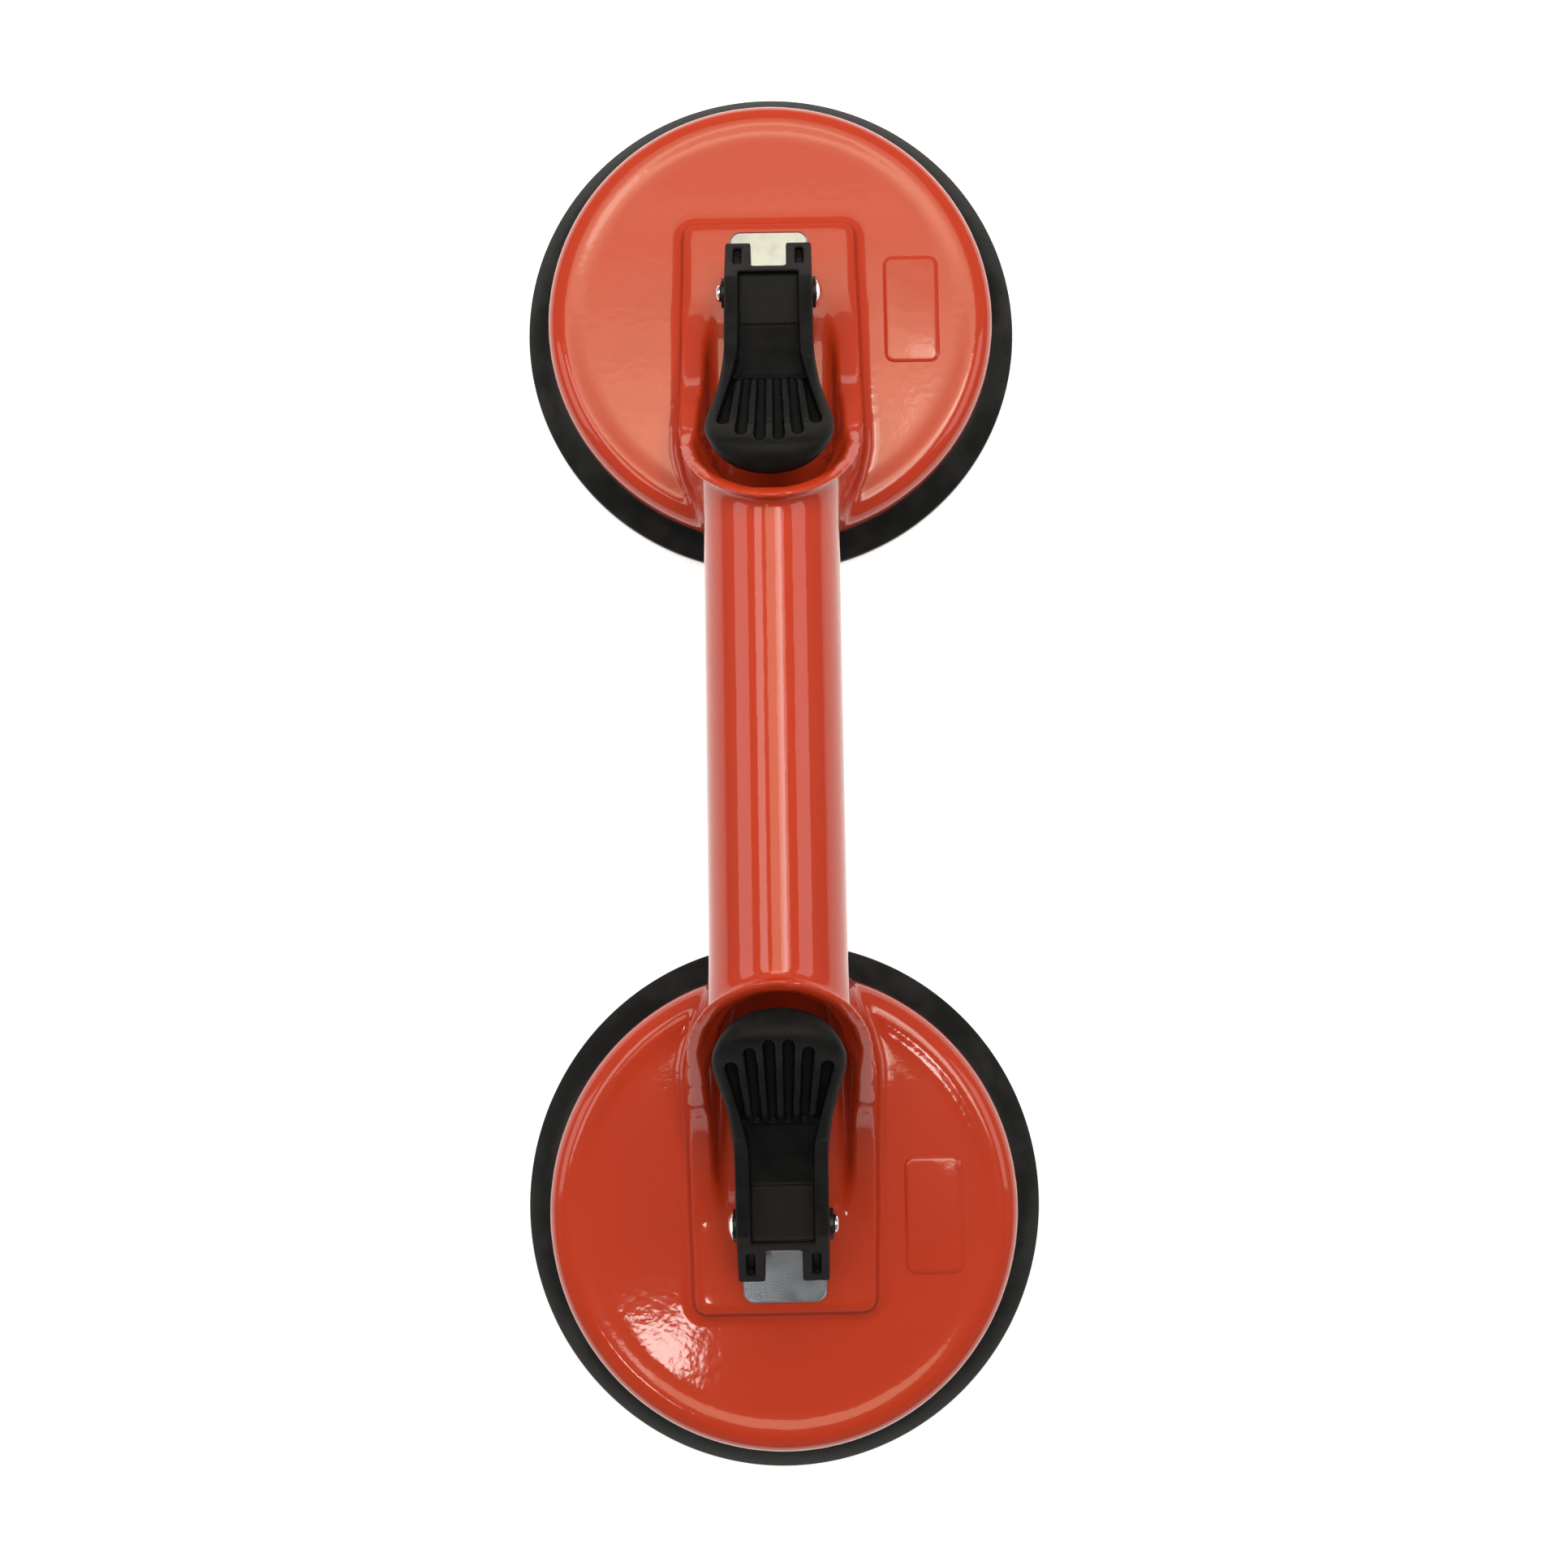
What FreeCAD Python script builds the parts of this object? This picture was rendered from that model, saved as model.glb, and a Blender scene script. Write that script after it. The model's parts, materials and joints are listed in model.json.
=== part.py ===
import FreeCAD, Part
import math
import os

# Double-cup vacuum lifter for floor tiles and raised floor panels.
# Two rubber pads hang under one cast body whose tubular handle joins them. A cam lever over each cup
# draws the middle of its pad up through a pull stud, which makes the vacuum. The levers are shown
# pressed down, which is the locked state.
#
# Whole frame: X across the handle, Y along it, Z up, origin on the floor midway between the cups.
# Cup frame: X across, Y outward from the handle (+Y is the toe of the lever), Z up, origin on the
# floor under the cup's axis. Cup A stands at +Y; cup B is the same cup turned half a turn about Z.
# All lengths are millimetres.

# Whole tool
CUP_SPACING = 210.0          # between the axes of the two cups
RUNNING_GAP = 0.05           # radial, between a shaft and the hole it turns or slides in
SIDE_GAP = 0.15              # between flat faces that turn against each other
MOVING_GAP = 0.3             # between pieces of different bodies that pass each other

# Rubber pad, z = 0 is the face that lies on the tile
PAD_RADIUS = 60.0
PAD_HEIGHT = 10.0            # from the tile to the face that carries the steel insert
PAD_DISH = 3.5               # rise of the hollow under the pad while it is locked
PAD_LIP_WIDTH = 4.5          # flat sealing ring
PAD_LIP_RISE = 1.0           # step inside the sealing ring
PAD_EDGE_HEIGHT = 2.6        # thickness at the outer edge
PAD_EDGE_ROUND = 0.8

# Steel insert bonded on the pad, and the pull stud through it
INSERT_RADIUS = 24.0
INSERT_THICKNESS = 2.5
INSERT_CHAMFER = 0.6
STUD_RADIUS = 4.0
STUD_EYE_RADIUS = 4.6
STUD_EYE_WIDTH = 7.6         # across the flats of the eye, along the pin
STUD_TRAVEL = 2.5            # how far the stud sinks while the lever opens

# Disc of the cast body over each pad
DISC_RADIUS = 54.0
SKIRT_BOTTOM = 7.0
SKIRT_WALL = 2.8
SEAT_WIDTH = 12.0            # ring that holds the pad down; inside it the pad is free to rise
INSERT_HEADROOM = 0.5        # above the insert when the pad is drawn up
DISC_WALL = 3.5
SHOULDER_WIDTH = 6.5         # round edge of the disc, out from the crest of the raised bead
BEAD_WIDTH = 5.0             # from the crest of the bead in to the flat of the disc
BEAD_RISE = 1.4

# Block on the disc that carries the lever
PLATFORM_RISE = 3.8          # above the flat of the disc
BLOCK_TOE = 22.5             # outer end, from the cup's axis
BLOCK_TOE_HALF = 20.9        # half width at the toe, on the disc
BLOCK_HALF = 22.2            # half width at the throat, on the disc
BLOCK_CORNER = 3.0           # plan radius of the two toe corners
BLOCK_TAPER_END = -33.0      # where the block stops widening and the neck starts to narrow
ARM_START = 3.8              # where the arms leave the platform

# Mouth: the arched lip that the lever tip lies in front of
LIP_APEX = -54.4             # position of the crown of the lip
LIP_SLOPE = 49.0             # degrees from the floor
LIP_RADIUS = 20.0            # outside of the arch, about the tube's axis
MOUTH_RADIUS = 16.3          # inside of the arch
SLOT_HALF = 15.1             # half width of the slot just above its floor
SLOT_ROUND = 1.7             # between the slot's floor and its walls
HOOD_LENGTH = 5.2            # from the face of the lip back to the tube
# along the hood, and how proud of the tube it is there, both as shares
HOOD_SHARES = ((0.0, 1.0), (0.17, 0.97), (0.385, 0.69), (0.635, 0.22), (1.0, 0.0))
NECK_WAIST = -41.5           # behind the lip the neck is drawn in to about the tube's width
NECK_WAIST_BASE = 20.3       # half width there, on the disc
NECK_WAIST_HALF = 15.9       # half width there, at the tube's axis
NECK_WAIST_INSIDE = 13.4     # radius of the throat there
THROAT_START = -36.0         # where the slot starts to close down to the bore
THROAT_END = -57.0
THROAT_RISE = 17.0           # of the throat's floor, up to the bore
THROAT_FOOT = 9.2            # half width of the throat's floor at its end

# Tubular handle
TUBE_RADIUS = 15.1
TUBE_WALL = 2.8
TUBE_AXIS_HEIGHT = 48.5
GUSSET_START = -52.5         # foot of the round gusset under the tube

# Raised plain frame on the disc beside each lever
LABEL_LENGTH = 25.8
LABEL_WIDTH = 12.9
LABEL_CORNER = 2.0
LABEL_LINE = 1.4             # width of the raised line
LABEL_RISE = 0.55
LABEL_INSET = 8.6            # of its centre from the edge of the flat, on the same side for both cups
LABEL_Y_A = 1.2              # centre on cup A, along the tool
LABEL_Y_B = -2.0             # centre on cup B, along the tool

# Wear plate under the cam
PLATE_THICKNESS = 1.2
PLATE_HALF = 9.4
PLATE_TOE = 19.6
PLATE_HEEL = -13.0
PLATE_CORNER = 2.6
PLATE_CHAMFER = 0.45

# Pivot pin with its clip and washer
PIN_HEIGHT = 36.0
PIN_RADIUS = 2.0
PIN_CHAMFER = 0.4
PIN_HEAD_RADIUS = 3.4
PIN_HEAD_THICKNESS = 1.4
PIN_TAIL = 2.1               # that shows beyond the lever on the clip's side
PIN_GROOVE_RADIUS = 1.5
WASHER_RADIUS = 3.6
WASHER_THICKNESS = 0.7
CLIP_RADIUS = 3.4
CLIP_THICKNESS = 0.8
CLIP_MOUTH = 2.4             # opening of the clip that is pushed over the groove
CLIP_WINDOW_RADIUS = 0.75    # of the two windows that leave the clip's prongs
CLIP_WINDOW_OFFSET = 1.8
CLIP_WINDOW_RISE = 0.75

# Lever
LEVER_HALF = 10.0            # half width over the pivot
LEVER_GRIP_HALF = 14.1       # half width of the grip
LEVER_WALL = 3.1             # side walls of the channel
LEVER_TOE = 12.3             # end of the toe from the pin
LEVER_TIP = -48.4            # end of the grip from the pin
LEVER_RISE = 32.3            # crown of the grip above the pin
LEVER_OPENING = 60.0         # degrees, from locked to released
CAM_GAP = 0.2                # between the cam and the wear plate
HEEL_FLAT = 8.0              # flat of the heel behind the pin, over the wear plate
TOE_FACE = 1.3               # height of the toe's end face
TOE_DROP = 1.0               # top of that face below the pin
NOTCH_CLEARANCE = 0.3        # each side of the stud's eye
NOTCH_END = 4.5              # inner end of the notch in the toe
BAR_THICKNESS = 1.9          # between the notch and the channel
CREASE = 0.9                 # where the sloping face of the toe meets the channel's walls
CREASE_HEIGHT = 10.0
FLOOR_THICKNESS = 1.3        # channel floor over the eye
# points of the side view from the pin: shares of the tip's distance and of the crown's height
TOP_SHARES = ((0.300, 0.495), (0.558, 0.635), (0.764, 0.836), (0.888, 1.0))
NOSE_SHARES = ((0.969, 0.997), (1.0, 0.882), (0.969, 0.762))
UNDER_SHARES = ((0.868, 0.700), (0.661, 0.449), (0.413, 0.139), (0.258, -0.248))
HEEL_SHARES = (0.2355, -0.390)
CHANNEL_SHARES = ((0.186, 0.170), (0.465, 0.356), (0.517, 0.567), (0.733, 0.771), (0.795, 0.929))
GROOVE_FLOOR_SHARES = ((0.450, 0.393), (0.900, 0.862))
# points of the plan: share of the spread from pivot to grip, and of the tip's distance
SPREAD_SHARES = ((0.0, 0.289), (0.463, 0.548), (0.780, 0.671), (1.0, 0.764))
TIP_ROUND_SHARES = (0.82, 0.909)
RIB_COUNT = 5
RIB_PITCH = 3.6
RIB_WIDTH = 1.25
GROOVE_START = -23.5
GROOVE_END = -41.6           # centre of the round end of the middle grooves
GROOVE_BOW = 0.5             # how much sooner the outer grooves end, by the square of their place
GROOVE_FAN = 1.25            # how much further apart the grooves are at their ends
CORE_HOLE_WIDTH = 1.9
CORE_HOLE_LENGTH = 5.4
CORE_HOLE_DEPTH = 3.0
CORE_HOLE_INSET = 2.1        # from the notch's side
CORE_HOLE_MARGIN = 0.6       # from the notch's end

# Return spring around the stud, with the washer that it pushes on
SPRING_RADIUS = 6.4          # to the middle of the wire
SPRING_WIRE = 1.5
SPRING_LENGTH = 4.5          # while the pad is locked
SPRING_TURNS = 2.5
SPRING_FACETS = 18           # straight facets in a turn
SPRING_WIRE_SIDES = 6
POCKET_RADIUS = 8.6
SEAT_WASHER_THICKNESS = 1.0

# Levels worked out from the sizes above
INSERT_TOP = PAD_HEIGHT + INSERT_THICKNESS
RECESS_TOP = INSERT_TOP + INSERT_HEADROOM
DISC_TOP = RECESS_TOP + DISC_WALL
PLATFORM_TOP = DISC_TOP + PLATFORM_RISE
PLATE_TOP = PLATFORM_TOP + PLATE_THICKNESS
POCKET_TOP = INSERT_TOP + SPRING_LENGTH + SEAT_WASHER_THICKNESS
CAM_HEIGHT = PIN_HEIGHT - PLATE_TOP - CAM_GAP
CAM_SLOPE = STUD_TRAVEL / math.radians(LEVER_OPENING)
LIP_TOP = TUBE_AXIS_HEIGHT + LIP_RADIUS
BORE_RADIUS = TUBE_RADIUS - TUBE_WALL
BEAD_RADIUS = DISC_RADIUS - SHOULDER_WIDTH
FLAT_RADIUS = BEAD_RADIUS - BEAD_WIDTH
SEAT_RADIUS = DISC_RADIUS - SEAT_WIDTH
LABEL_X = FLAT_RADIUS - LABEL_INSET
BURIED = 2.0                 # how far a form reaches into the one that it joins
FAR = 200.0                  # beyond every form of a cup


def vec(x, y, z):
    return FreeCAD.Vector(x, y, z)


def line(start, end):
    return Part.LineSegment(start, end).toShape()


def arc(start, middle, end):
    return Part.Arc(start, middle, end).toShape()


def curve(points, start_tangent=None, end_tangent=None):
    spline = Part.BSplineCurve()
    if start_tangent is None:
        spline.interpolate(points)
    else:
        spline.interpolate(Points=points, InitialTangent=start_tangent, FinalTangent=end_tangent)
    return spline.toShape()


def face_of(*edges):
    return Part.Face(Part.Wire(edges))


def polygon(points):
    return Part.Face(Part.makePolygon(points + points[:1]))


def side(y, z):
    # a point of a side view, in the plane x = 0
    return vec(0, y, z)


def across(face, half):
    # extrudes a side view to both sides
    moved = face.copy()
    moved.translate(vec(-half, 0, 0))
    return moved.extrude(vec(2 * half, 0, 0))


def upright(face, low, high):
    # extrudes a plan drawn at z = 0 between two levels
    moved = face.copy()
    moved.translate(vec(0, 0, low))
    return moved.extrude(vec(0, 0, high - low))


def turned(face):
    # revolves a half section, drawn in the plane y = 0, about the cup's axis
    return face.revolve(vec(0, 0, 0), vec(0, 0, 1), 360)


def rounded_rectangle(x_half, y_low, y_high, corner):
    box = Part.makeBox(2 * x_half, y_high - y_low, 1, vec(-x_half, y_low, 0))
    uprights = [edge for edge in box.Edges if abs(edge.tangentAt(edge.FirstParameter).z) > 0.9]
    rounded = box.makeFillet(corner, uprights)
    return min(rounded.Faces, key=lambda found: found.CenterOfMass.z)


def cylinder_y(radius, start, end, height):
    return Part.makeCylinder(radius, end - start, vec(0, start, height), vec(0, 1, 0))


def cylinder_x(radius, start, end, height):
    return Part.makeCylinder(radius, end - start, vec(start, 0, height), vec(1, 0, 0))


# Rubber pad and its insert

def make_pad():
    neck = DISC_RADIUS - SKIRT_WALL - MOVING_GAP
    lip_inner = PAD_RADIUS - PAD_EDGE_ROUND - PAD_LIP_WIDTH
    section = face_of(
        line(vec(0, 0, PAD_DISH), vec(INSERT_RADIUS, 0, PAD_DISH)),
        line(vec(INSERT_RADIUS, 0, PAD_DISH), vec(lip_inner - PAD_LIP_RISE, 0, PAD_LIP_RISE)),
        line(vec(lip_inner - PAD_LIP_RISE, 0, PAD_LIP_RISE), vec(lip_inner, 0, 0)),
        line(vec(lip_inner, 0, 0), vec(PAD_RADIUS - PAD_EDGE_ROUND, 0, 0)),
        line(vec(PAD_RADIUS - PAD_EDGE_ROUND, 0, 0), vec(PAD_RADIUS, 0, PAD_EDGE_ROUND)),
        line(vec(PAD_RADIUS, 0, PAD_EDGE_ROUND), vec(PAD_RADIUS, 0, PAD_EDGE_HEIGHT)),
        line(vec(PAD_RADIUS, 0, PAD_EDGE_HEIGHT), vec(DISC_RADIUS, 0, SKIRT_BOTTOM)),
        line(vec(DISC_RADIUS, 0, SKIRT_BOTTOM), vec(neck, 0, SKIRT_BOTTOM)),
        line(vec(neck, 0, SKIRT_BOTTOM), vec(neck, 0, PAD_HEIGHT)),
        line(vec(neck, 0, PAD_HEIGHT), vec(0, 0, PAD_HEIGHT)),
        line(vec(0, 0, PAD_HEIGHT), vec(0, 0, PAD_DISH)),
    )
    return turned(section)


def make_insert():
    disc = Part.makeCylinder(INSERT_RADIUS, INSERT_THICKNESS, vec(0, 0, PAD_HEIGHT))
    rim = [edge for edge in disc.Edges if edge.BoundBox.ZMin > INSERT_TOP - 0.1 and edge.Closed]
    disc = disc.makeChamfer(INSERT_CHAMFER, rim)
    return disc.cut(Part.makeCylinder(STUD_RADIUS, INSERT_THICKNESS, vec(0, 0, PAD_HEIGHT)))


def make_stud():
    shank = Part.makeCylinder(STUD_RADIUS, PIN_HEIGHT - PAD_HEIGHT, vec(0, 0, PAD_HEIGHT))
    eye = cylinder_x(STUD_EYE_RADIUS, -STUD_EYE_WIDTH / 2, STUD_EYE_WIDTH / 2, PIN_HEIGHT)
    low = PLATE_TOP + STUD_EYE_RADIUS / 2
    flats = Part.makeBox(STUD_EYE_WIDTH, FAR, FAR, vec(-STUD_EYE_WIDTH / 2, -FAR / 2, low))
    foot = Part.makeCylinder(STUD_RADIUS, low - PAD_HEIGHT, vec(0, 0, PAD_HEIGHT))
    stud = shank.fuse(eye).common(flats).fuse(foot)
    stud = stud.cut(cylinder_x(PIN_RADIUS + RUNNING_GAP, -FAR, FAR, PIN_HEIGHT))
    return stud.removeSplitter()


def make_spring():
    # straight facets between sections that climb round the stud
    wire_radius = SPRING_WIRE / 2
    rise = SPRING_LENGTH - 2 * wire_radius
    stations = round(SPRING_TURNS * SPRING_FACETS)
    sections = []
    for number in range(stations + 1):
        turn = 2 * math.pi * number / SPRING_FACETS
        height = INSERT_TOP + wire_radius + rise * number / stations
        corners = []
        for corner in range(SPRING_WIRE_SIDES + 1):
            angle = 2 * math.pi * (corner + 0.5) / SPRING_WIRE_SIDES
            radius = SPRING_RADIUS + wire_radius * math.cos(angle)
            corners.append(vec(radius * math.cos(turn), radius * math.sin(turn),
                               height + wire_radius * math.sin(angle)))
        sections.append(Part.makePolygon(corners))
    return Part.makeLoft(sections, True, True)


def make_seat_washer():
    low = POCKET_TOP - SEAT_WASHER_THICKNESS
    outer = Part.makeCylinder(POCKET_RADIUS - MOVING_GAP, SEAT_WASHER_THICKNESS, vec(0, 0, low))
    hole = Part.makeCylinder(STUD_RADIUS + MOVING_GAP, SEAT_WASHER_THICKNESS, vec(0, 0, low))
    return outer.cut(hole)


# Cast body

def disc_form():
    # the bead rises from the flat in a soft double curve and rolls over into the shoulder
    crest = DISC_TOP + BEAD_RISE
    half_step = BEAD_WIDTH / 2
    half_rise = BEAD_RISE / 2
    bend = (half_step * half_step + half_rise * half_rise) / (2 * half_rise)
    quarter = math.asin(half_step / bend) / 2
    aside = bend * math.sin(quarter)
    sag = bend * (1 - math.cos(quarter))
    middle = vec(BEAD_RADIUS - half_step, 0, DISC_TOP + half_rise)
    eighth = SHOULDER_WIDTH * math.sqrt(0.5)
    edge = crest - SHOULDER_WIDTH
    section = face_of(
        line(vec(0, 0, DISC_TOP), vec(FLAT_RADIUS, 0, DISC_TOP)),
        arc(vec(FLAT_RADIUS, 0, DISC_TOP), vec(FLAT_RADIUS + aside, 0, DISC_TOP + sag), middle),
        arc(middle, vec(BEAD_RADIUS - aside, 0, crest - sag), vec(BEAD_RADIUS, 0, crest)),
        arc(vec(BEAD_RADIUS, 0, crest), vec(BEAD_RADIUS + eighth, 0, edge + eighth),
            vec(DISC_RADIUS, 0, edge)),
        line(vec(DISC_RADIUS, 0, edge), vec(DISC_RADIUS, 0, SKIRT_BOTTOM)),
        line(vec(DISC_RADIUS, 0, SKIRT_BOTTOM), vec(0, 0, SKIRT_BOTTOM)),
        line(vec(0, 0, SKIRT_BOTTOM), vec(0, 0, DISC_TOP)),
    )
    return turned(section)


def disc_hollow():
    inner = DISC_RADIUS - SKIRT_WALL
    chamber = Part.makeCylinder(inner, PAD_HEIGHT - SKIRT_BOTTOM, vec(0, 0, SKIRT_BOTTOM))
    recess = Part.makeCylinder(SEAT_RADIUS, RECESS_TOP - SKIRT_BOTTOM, vec(0, 0, SKIRT_BOTTOM))
    pocket = Part.makeCylinder(POCKET_RADIUS, POCKET_TOP - SKIRT_BOTTOM, vec(0, 0, SKIRT_BOTTOM))
    stud_hole = Part.makeCylinder(STUD_RADIUS + MOVING_GAP, FAR, vec(0, 0, SKIRT_BOTTOM))
    return chamber.fuse([recess, pocket, stud_hole])


def lip_line(height):
    # position of the lip's sloping plane at a height
    return LIP_APEX + (LIP_TOP - height) / math.tan(math.radians(LIP_SLOPE))


def arch_section(y, base_half, spring_half, base_height):
    # an upturned U: two drafted legs under a half circle about the tube's axis
    spring = TUBE_AXIS_HEIGHT
    foot_left = vec(-base_half, y, base_height)
    foot_right = vec(base_half, y, base_height)
    left = vec(-spring_half, y, spring)
    right = vec(spring_half, y, spring)
    return Part.Wire([
        line(foot_left, left),
        arc(left, vec(0, y, spring + spring_half), right),
        line(right, foot_right),
        line(foot_right, foot_left),
    ])


def arm_profile():
    # side view of platform, arms and the sloping plane of the lip
    base = DISC_TOP - BURIED
    slope = math.radians(LIP_SLOPE)
    corner = lip_line(PLATFORM_TOP)
    reach = ARM_START - corner
    radius = reach / math.tan(slope / 2)
    arc_end = side(corner - reach * math.cos(slope), PLATFORM_TOP + reach * math.sin(slope))
    middle = side(ARM_START - radius * math.sin(slope / 2),
                  PLATFORM_TOP + radius * (1 - math.cos(slope / 2)))
    top = LIP_TOP + BURIED
    return face_of(
        line(side(BLOCK_TOE, base), side(BLOCK_TOE, PLATFORM_TOP)),
        line(side(BLOCK_TOE, PLATFORM_TOP), side(ARM_START, PLATFORM_TOP)),
        arc(side(ARM_START, PLATFORM_TOP), middle, arc_end),
        line(arc_end, side(lip_line(top), top)),
        line(side(lip_line(top), top), side(-FAR, top)),
        line(side(-FAR, top), side(-FAR, base)),
        line(side(-FAR, base), side(BLOCK_TOE, base)),
    )


def block_form():
    base = DISC_TOP - BURIED
    taper = BLOCK_TOE_HALF / BLOCK_HALF
    toe = arch_section(BLOCK_TOE, BLOCK_TOE_HALF, LIP_RADIUS * taper, base)
    throat = arch_section(BLOCK_TAPER_END, BLOCK_HALF, LIP_RADIUS, base)
    block = Part.makeLoft([throat, toe], True, True)
    block = block.common(across(arm_profile(), FAR))
    corners = [edge for edge in block.Edges
               if edge.BoundBox.YMin > BLOCK_TOE - 0.01 and edge.BoundBox.XLength < 2 * BLOCK_CORNER]
    return block.makeFillet(BLOCK_CORNER, corners)


def neck_form():
    base = DISC_TOP - BURIED
    throat = arch_section(BLOCK_TAPER_END, BLOCK_HALF, LIP_RADIUS, base)
    waist = arch_section(NECK_WAIST, NECK_WAIST_BASE, NECK_WAIST_HALF, base)
    end = arch_section(THROAT_END, TUBE_RADIUS, TUBE_RADIUS, base)
    cone = Part.makeLoft([end, waist, throat], True, True)
    under_tube = TUBE_AXIS_HEIGHT - TUBE_RADIUS
    rise = under_tube - DISC_TOP
    back = GUSSET_START - rise
    tail = Part.Face(arch_section(back, TUBE_RADIUS, TUBE_RADIUS, base))
    tail = tail.extrude(vec(0, THROAT_END - back, 0))
    eighth = rise * math.sqrt(0.5)
    profile = face_of(
        line(side(BLOCK_TOE, base), side(GUSSET_START, base)),
        line(side(GUSSET_START, base), side(GUSSET_START, DISC_TOP)),
        arc(side(GUSSET_START, DISC_TOP), side(back + eighth, DISC_TOP + eighth),
            side(back, under_tube)),
        line(side(back, under_tube), side(back, LIP_TOP)),
        line(side(back, LIP_TOP), side(BLOCK_TOE, LIP_TOP)),
        line(side(BLOCK_TOE, LIP_TOP), side(BLOCK_TOE, base)),
    )
    neck = cone.fuse(tail).common(across(profile, FAR))
    return neck.common(across(arm_profile(), FAR))


def hood_form():
    # the flared lip: upturned U sections that lean with the lip's plane and narrow to the tube
    foot = TUBE_AXIS_HEIGHT - LIP_RADIUS / 2
    lean = FreeCAD.Matrix()
    lean.A23 = -1 / math.tan(math.radians(LIP_SLOPE))
    lean.A24 = LIP_TOP / math.tan(math.radians(LIP_SLOPE))
    sections = []
    for along, proud in HOOD_SHARES:
        radius = TUBE_RADIUS + (LIP_RADIUS - TUBE_RADIUS) * proud
        section = arch_section(LIP_APEX - HOOD_LENGTH * along, radius, radius, foot)
        sections.append(section.transformGeometry(lean))
    return Part.makeLoft(sections, True, False)


def slot_form():
    floor = PLATFORM_TOP
    flat = SLOT_HALF - SLOT_ROUND
    eighth = SLOT_ROUND * (1 - math.sqrt(0.5))
    spring = TUBE_AXIS_HEIGHT
    y = THROAT_START
    section = face_of(
        line(vec(-flat, y, floor), vec(flat, y, floor)),
        arc(vec(flat, y, floor), vec(SLOT_HALF - eighth, y, floor + eighth),
            vec(SLOT_HALF, y, floor + SLOT_ROUND)),
        line(vec(SLOT_HALF, y, floor + SLOT_ROUND), vec(MOUTH_RADIUS, y, spring)),
        arc(vec(MOUTH_RADIUS, y, spring), vec(0, y, spring + MOUTH_RADIUS),
            vec(-MOUTH_RADIUS, y, spring)),
        line(vec(-MOUTH_RADIUS, y, spring), vec(-SLOT_HALF, y, floor + SLOT_ROUND)),
        arc(vec(-SLOT_HALF, y, floor + SLOT_ROUND), vec(-SLOT_HALF + eighth, y, floor + eighth),
            vec(-flat, y, floor)),
    )
    return section.extrude(vec(0, BLOCK_TOE + BURIED - THROAT_START, 0))


def throat_form():
    # a short wide cone behind the lip, then a slender one to the bore
    spring = TUBE_AXIS_HEIGHT
    narrowing = face_of(
        line(vec(0, THROAT_START, spring), vec(MOUTH_RADIUS, THROAT_START, spring)),
        line(vec(MOUTH_RADIUS, THROAT_START, spring), vec(NECK_WAIST_INSIDE, NECK_WAIST, spring)),
        line(vec(NECK_WAIST_INSIDE, NECK_WAIST, spring), vec(BORE_RADIUS, THROAT_END, spring)),
        line(vec(BORE_RADIUS, THROAT_END, spring), vec(0, THROAT_END, spring)),
        line(vec(0, THROAT_END, spring), vec(0, THROAT_START, spring)),
    )
    cone = narrowing.revolve(vec(0, 0, spring), vec(0, 1, 0), 360)

    def mouth(y, half, floor):
        return Part.makePolygon([vec(-half, y, floor), vec(half, y, floor), vec(half, y, spring),
                                 vec(-half, y, spring), vec(-half, y, floor)])

    wide = mouth(THROAT_START, SLOT_HALF - SLOT_ROUND, PLATFORM_TOP)
    narrow = mouth(THROAT_END, THROAT_FOOT, PLATFORM_TOP + THROAT_RISE)
    return cone.fuse(Part.makeLoft([narrow, wide], True, True))


def label_frame(x_centre, y_centre):
    def plate(inset):
        outline = rounded_rectangle(LABEL_WIDTH / 2 - inset, -LABEL_LENGTH / 2 + inset,
                                    LABEL_LENGTH / 2 - inset, LABEL_CORNER - inset)
        return upright(outline, DISC_TOP - LABEL_RISE, DISC_TOP + LABEL_RISE)

    frame = plate(0).cut(plate(LABEL_LINE))
    frame.translate(vec(x_centre, y_centre, 0))
    return frame


def cup_casting():
    outside = block_form().fuse([neck_form(), hood_form()])
    inside = slot_form().fuse(throat_form())
    return outside.cut(inside)


def placed(shape, cup):
    # from the cup frame to the whole frame
    moved = shape.copy()
    if cup == "b":
        moved.rotate(vec(0, 0, 0), vec(0, 0, 1), 180)
    moved.translate(vec(0, CUP_SPACING / 2 if cup == "a" else -CUP_SPACING / 2, 0))
    return moved


def make_body():
    reach = CUP_SPACING / 2 + THROAT_END
    body = cylinder_y(TUBE_RADIUS, -reach, reach, TUBE_AXIS_HEIGHT)
    cup = disc_form().fuse(cup_casting())
    for name in "ab":
        body = body.fuse(placed(cup, name))
    body = body.fuse([label_frame(LABEL_X, CUP_SPACING / 2 + LABEL_Y_A),
                      label_frame(LABEL_X, -CUP_SPACING / 2 + LABEL_Y_B)])
    for name in "ab":
        body = body.cut(placed(disc_hollow(), name))
        body = body.cut(placed(slot_form().fuse(throat_form()), name))
    bore_end = CUP_SPACING / 2 + THROAT_END + BURIED
    body = body.cut(cylinder_y(BORE_RADIUS, -bore_end, bore_end, TUBE_AXIS_HEIGHT))
    return body.removeSplitter()


def make_plate():
    outline = rounded_rectangle(PLATE_HALF, PLATE_HEEL, PLATE_TOE, PLATE_CORNER)
    plate = upright(outline, PLATFORM_TOP, PLATE_TOP)
    rim = [edge for edge in plate.Edges
           if edge.BoundBox.ZMin > PLATE_TOP - 0.01 and edge.BoundBox.YMin > 0]
    plate = plate.makeChamfer(PLATE_CHAMFER, rim)
    return plate.cut(Part.makeCylinder(STUD_RADIUS + MOVING_GAP, FAR, vec(0, 0, 0)))


# Pivot pin

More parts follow.
